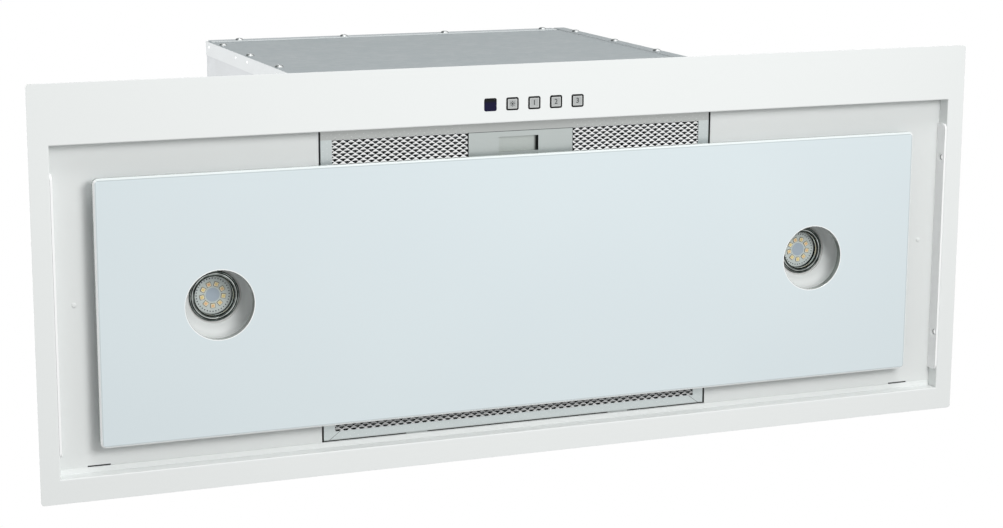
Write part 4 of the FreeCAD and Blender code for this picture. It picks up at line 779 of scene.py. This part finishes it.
# %% [markdown]
# ## Lamps
# Each lamp is a retrofit spot: a stepped chrome ring, a pale circuit board with nine warm chips in a circle
# and a ring of tiny vent dots. The ring is turned as one profile. A chip is three plates, one on the other:
# its dark rim, a painted shade round the chip, its body and the gel.

# %% Lamp pieces
RING_PROFILE = ((17.2, 8.0), (22.5, 8.0), (22.5, 0.9), (22.3, 0.35), (21.9, 0.05), (21.4, 0.0), (21.0, 0.3),
                (20.8, 1.0), (20.4, 1.0), (20.2, 0.5), (19.8, 0.45), (19.4, 0.6), (19.1, 1.3), (18.7, 1.3),
                (18.4, 0.9), (18.0, 0.9), (17.6, 1.2), (17.2, 1.8))
CENTRE_R, CENTRE_RISE = 6.2, 0.12
DOT_COUNT, DOT_CIRCLE, DOT_R, DOT_RISE = 36, 14.8, 0.55, 0.1
CHIP_COUNT, CHIP_CIRCLE, CHIP_SIZE, CHIP_ROUNDING = 9, 9.75, 4.4, 0.12
CHIP_LAYERS = (("chip_solder", chip_shadow, 1.00, 0.2, 0.0), ("chip_bodies", chip_body, 0.84, 0.5, 0.2),
               ("chip_phosphor", phosphor, 0.50, 0.6, 0.5))


def chip_square(bm, x, y, turn_by, size, z0, z1):
    half = size / 2
    points = []
    for px, py in rounded_rectangle(-half, half, -half, half, size * CHIP_ROUNDING, steps=2):
        points.append((x + px * math.cos(turn_by) - py * math.sin(turn_by),
                       y + px * math.sin(turn_by) + py * math.cos(turn_by)))
    prism(bm, points, z0, z1)


def lamp_chips(hand, x, y, board_z):
    for name, finish, share, outer, inner in CHIP_LAYERS:
        bm = bmesh.new()
        for i, (px, py) in enumerate(circle_points(x, y, CHIP_CIRCLE, CHIP_COUNT, math.pi / 2)):
            angle = 2 * math.pi * i / CHIP_COUNT
            chip_square(bm, px, py, angle, CHIP_SIZE * share, board_z - outer, board_z - inner)
        stands_for = [f"led_chips_{hand}"] if name == "chip_bodies" else ()
        piece(f"{name}_{hand}", bm, finish, "hood", stands_for)


def lamp_parts(hand):
    x, y, _ = middle_mm(f"lamp_ring_{hand}")
    ring_z, board_z = box_mm(f"lamp_ring_{hand}")[0][2], box_mm(f"led_board_{hand}")[0][2]
    ring = turned(bmesh.new(), [(r, ring_z + h) for r, h in RING_PROFILE], x, y)
    piece(f"spot_ring_{hand}", ring, chrome, "hood", [f"lamp_ring_{hand}"], smooth_below=50)
    disc = prism(bmesh.new(), circle_points(x, y, CENTRE_R, 48), board_z - CENTRE_RISE, board_z)
    piece(f"board_centre_{hand}", disc, lens_centre, "hood")
    dots = bmesh.new()
    for px, py in circle_points(x, y, DOT_CIRCLE, DOT_COUNT):
        prism(dots, circle_points(px, py, DOT_R, 10), board_z - DOT_RISE, board_z)
    piece(f"board_dots_{hand}", dots, dot_ink, "hood")
    lamp_chips(hand, x, y, board_z)


for hand in ("left", "right"):
    lamp_parts(hand)
print("lamps:", [round(v, 2) for v in middle_mm("lamp_ring_left") + middle_mm("lamp_ring_right")])

# %% [markdown]
# ## Marks on the keys
# The keys carry a lamp sign and the speeds 1, 2 and 3. The digits come from Blender's own font as thin plates
# turned to face down, towards the cook; the lamp sign is a small disc with eight rays.

# %% Key marks
MARK_LOW, MARK_HIGH = 0.10, 0.32
DIGIT_HEIGHT, FONT_OVER_DIGIT, DIGIT_BOLDER = 4.6, 1.4, 0.05
SIGN_DISC_R, SIGN_RAYS, RAY_FROM, RAY_TO, RAY_HALF = 0.9, 8, 1.4, 2.5, 0.3


def facing_down(x, y, z):
    """Puts a flat drawing on the underside of the hood, its top towards the front."""
    return Matrix.Translation(Vector((x, y, z)) * MM) @ Matrix.Rotation(math.pi, 4, "X")


def key_face(name):
    """The middle of a key's face, in mm."""
    x, y, _ = middle_mm(name)
    return x, y, box_mm(name)[0][2]


def digit_mark(text, node_name, body):
    x, y, face = key_face(node_name)
    curve = bpy.data.curves.new(f"digit_{text}", "FONT")
    curve.body, curve.size = text, DIGIT_HEIGHT * FONT_OVER_DIGIT * MM
    curve.align_x, curve.align_y = "CENTER", "CENTER"
    curve.extrude, curve.offset = (MARK_HIGH - MARK_LOW) / 2 * MM, DIGIT_BOLDER * MM
    holder = bpy.data.objects.new(f"digit_{text}", curve)
    bpy.context.scene.collection.objects.link(holder)
    bpy.context.view_layer.update()
    drawn = holder.evaluated_get(bpy.context.evaluated_depsgraph_get())
    bm = bmesh.new()
    bm.from_mesh(bpy.data.meshes.new_from_object(drawn))
    bpy.data.objects.remove(holder)
    bmesh.ops.remove_doubles(bm, verts=bm.verts, dist=0.001 * MM)
    bm.transform(facing_down(x, y, face + (MARK_LOW + MARK_HIGH) / 2))
    piece(f"mark_speed_{text}", bm, mark_ink, body)


def lamp_mark(node_name, body):
    x, y, face = key_face(node_name)
    z0, z1 = face + MARK_LOW, face + MARK_HIGH
    bm = prism(bmesh.new(), circle_points(x, y, SIGN_DISC_R, 20), z0, z1)
    for i in range(SIGN_RAYS):
        angle = 2 * math.pi * i / SIGN_RAYS
        out = Vector((math.cos(angle), math.sin(angle)))
        side = Vector((-out.y, out.x)) * RAY_HALF
        near, far = Vector((x, y)) + out * RAY_FROM, Vector((x, y)) + out * RAY_TO
        prism(bm, [near - side, far - side, far + side, near + side], z0, z1)
    piece("mark_light", bm, mark_ink, body)


lamp_mark("button_light", "key_light")
for digit in "123":
    digit_mark(digit, f"button_speed_{digit}", f"key_speed_{digit}")
print("keys marked")

# %% [markdown]
# ## Screw heads
# Pan-head screws with a cross recess. A polar grid is pushed into shape by one formula: a dome that falls to
# the rim, less a cross that fades out with the radius, so the recess has soft sides as a pressed one has.

# %% Screws
SCREW_R, SCREW_DOME, SCREW_RINGS, SCREW_STEPS = 4.0, 2.2, 14, 32
CROSS_HALF, CROSS_REACH, CROSS_DEPTH, CROSS_STEEP = 0.45, 2.1, 1.0, 2.2


def dome_height(u, v):
    radius = math.hypot(u, v)
    dome = SCREW_DOME * math.sqrt(max(0.0, 1 - (radius / SCREW_R) ** 2)) ** 0.8
    arm = max(0.0, 1 - min(abs(u), abs(v)) / CROSS_HALF) * max(0.0, 1 - radius / CROSS_REACH)
    return dome - CROSS_DEPTH * min(1.0, arm * CROSS_STEEP)


def screw_head(bm, x, y, z):
    """A head whose seat lies in the plane y, bulging towards -Y."""
    centre = bm.verts.new(Vector((x, y - dome_height(0, 0), z)) * MM)
    rings = []
    for ring in range(1, SCREW_RINGS + 1):
        points = circle_points(0, 0, SCREW_R * ring / SCREW_RINGS, SCREW_STEPS)
        rings.append([bm.verts.new(Vector((x + u, y - dome_height(u, v), z + v)) * MM) for u, v in points])
    for i in range(SCREW_STEPS):
        bm.faces.new((centre, rings[0][(i + 1) % SCREW_STEPS], rings[0][i]))
    for one, two in zip(rings, rings[1:]):
        skin(bm, one, two)
    bm.faces.new(rings[-1])


def screw_tips():
    """The tip of each CAD head: the node's points are sorted into one heap a screw."""
    tips = {}
    for vertex in nodes["housing_screws"].data.vertices:
        x, y, z = (c / MM for c in vertex.co)
        near = next((key for key in tips if math.hypot(key[0] - x, key[1] - z) < 3 * SCREW_R), (x, z))
        tips.setdefault(near, []).append((x, y, z))
    found = []
    for heap in tips.values():
        low = [min(point[i] for point in heap) for i in range(3)]
        high = [max(point[i] for point in heap) for i in range(3)]
        found.append(((low[0] + high[0]) / 2, low[1], (low[2] + high[2]) / 2))
    return sorted(found)


heads = bmesh.new()
for tip_x, tip_y, tip_z in screw_tips():
    screw_head(heads, tip_x, tip_y + SCREW_DOME, tip_z)
screws = piece("screw_heads", heads, screw_steel, "hood", ["housing_screws"], smooth_below=60)
print("screws:", len(screws.data.vertices) // (SCREW_RINGS * SCREW_STEPS + 1))

# %% [markdown]
# ## Clinch points
# The front sheet's hem is pressed into the side wall behind it at a few points, which stand out as small
# bright domes down the housing's front left edge.

# %% Clinch points
CLINCH_FROM_EDGE = 5.5
CLINCH_HEIGHTS = (119, 218, 259, 360)
CLINCH_DOME = ((1.7, 0.0), (1.36, 0.3), (0.765, 0.5))


def low_dome(bm, x, y, z, steps=20):
    """A low dome on a wall that faces -X."""
    rings = []
    for radius, rise in CLINCH_DOME:
        rings.append([bm.verts.new(Vector((x - rise, y + b, z + c)) * MM)
                      for b, c in circle_points(0, 0, radius, steps)])
    for one, two in zip(rings, rings[1:]):
        skin(bm, one, two)
    bm.faces.new(rings[0][::-1])
    bm.faces.new(rings[-1])


panel_low = box_mm("housing_front_panel")[0]
clinches = bmesh.new()
for height in CLINCH_HEIGHTS:
    low_dome(clinches, panel_low[0], panel_low[1] + CLINCH_FROM_EDGE, height)
piece("clinch_points", clinches, clinch_zinc, "hood", smooth_below=60)
print("clinch points at heights", CLINCH_HEIGHTS)

# %% [markdown]
# ## Slot tabs
# Behind the glass panel's rear corners the recess floor has a narrow slot, which a tab of the rear flange
# fills. The tab stays behind the floor's face and is painted dark as the slot's shade, so from outside each
# slot is a short dark line.

# %% Slot tabs
TAB_FROM_SIDE, TAB_FROM_REAR, TAB_LONG, TAB_THICK, TAB_ROUNDING = 53.35, 26.9, 19.8, 1.0, 0.2
TAB_BEHIND_FACE, TAB_TALL = 0.15, 3.6

fascia_high = box_mm("fascia_frame")[1]
floor_face = box_mm("carrier_plate")[0][2]
tab_x, tab_y = fascia_high[0] - TAB_FROM_SIDE, fascia_high[1] - TAB_FROM_REAR
tabs = bmesh.new()
for x in (-tab_x, tab_x):
    outline = rounded_rectangle(x - TAB_LONG / 2, x + TAB_LONG / 2, tab_y - TAB_THICK / 2,
                                tab_y + TAB_THICK / 2, TAB_ROUNDING, steps=2)
    prism(tabs, outline, floor_face + TAB_BEHIND_FACE, floor_face + TAB_TALL)
piece("slot_tabs", tabs, shade_sheet, "hood")
print("slot tabs at", [round(v, 2) for v in (tab_x, tab_y, floor_face)])

# %% [markdown]
# ## Stage and light
# The hood hangs in a white studio, with the floor well below it. A camera or a mirror sees the floor and the
# surroundings as white, but as a source of light they are dimmer, so that shadows keep their depth.

# %% Floor
FLOOR_BELOW, FLOOR_HALF = -8.6, 30.0


def pale_stage(name, tone, self_lit):
    """White where the camera or a mirror sees it, pale and plain for all other light."""
    f = Finish(name)
    plain = f.add("ShaderNodeBsdfDiffuse", feeds={"Color": tone})
    white = f.add("ShaderNodeEmission", feeds={"Color": (1, 1, 1, 1), "Strength": 1.0})
    mixed = f.add("ShaderNodeMixShader", feeds={0: f.looked_at() * self_lit, 1: plain, 2: white})
    f.add("ShaderNodeOutputMaterial", feeds={"Surface": mixed})
    return f


floor_mesh = bmesh.new()
corners = [floor_mesh.verts.new((x * FLOOR_HALF, y * FLOOR_HALF, FLOOR_BELOW))
           for x, y in ((-1, -1), (1, -1), (1, 1), (-1, 1))]
floor_mesh.faces.new(corners)
floor_data = bpy.data.meshes.new("studio_floor")
floor_mesh.to_mesh(floor_data)
floor_mesh.free()
floor_data.materials.append(pale_stage("studio floor", (0.8, 0.8, 0.8, 1), 0.85).material)
studio_floor = bpy.data.objects.new("studio_floor", floor_data)
bpy.context.scene.collection.objects.link(studio_floor)
print("floor at", FLOOR_BELOW)

# %% [markdown]
# A soft lamp in front, right of the middle and aimed past the hood, does the modelling: it leaves the shadow
# of the glass and the shaded side of the cups. A weaker lamp far in front grazes the recess, one on the left
# lifts the housing's side, and the even white surroundings do the rest.

# %% Surroundings and lamps
AMBIENT = 0.53
world = bpy.data.worlds.new("studio")
world.use_nodes = True
bpy.context.scene.world = world
room = Nodes(world.node_tree)
brightness = room.looked_at() * (1 - AMBIENT) + AMBIENT
sky = room.add("ShaderNodeBackground", feeds={"Color": (1, 1, 1, 1), "Strength": brightness})
room.add("ShaderNodeOutputWorld", feeds={"Surface": sky})


def soft_lamp(name, at, aim, size, watts):
    light = bpy.data.lights.new(name, "AREA")
    light.shape, light.size, light.energy = "SQUARE", size, watts
    lamp = bpy.data.objects.new(name, light)
    lamp.location = at
    lamp.rotation_euler = (Vector(aim) - Vector(at)).to_track_quat("-Z", "Y").to_euler()
    bpy.context.scene.collection.objects.link(lamp)
    return lamp


key_lamp = soft_lamp("key lamp", (0.35, -0.72, -1.5), (-1.2, 0.8, 0.0), 0.75, 19.7)
key_lamp.visible_glossy = False
soft_lamp("front fill", (0.1, -3.0, -1.4), (0.0, 0.0, 0.0), 0.8, 22)
soft_lamp("side lamp", (-2.4, 0.2, 1.2), (-0.2, 0.0, 0.2), 1.2, 38)
print("lamps and surroundings ready")
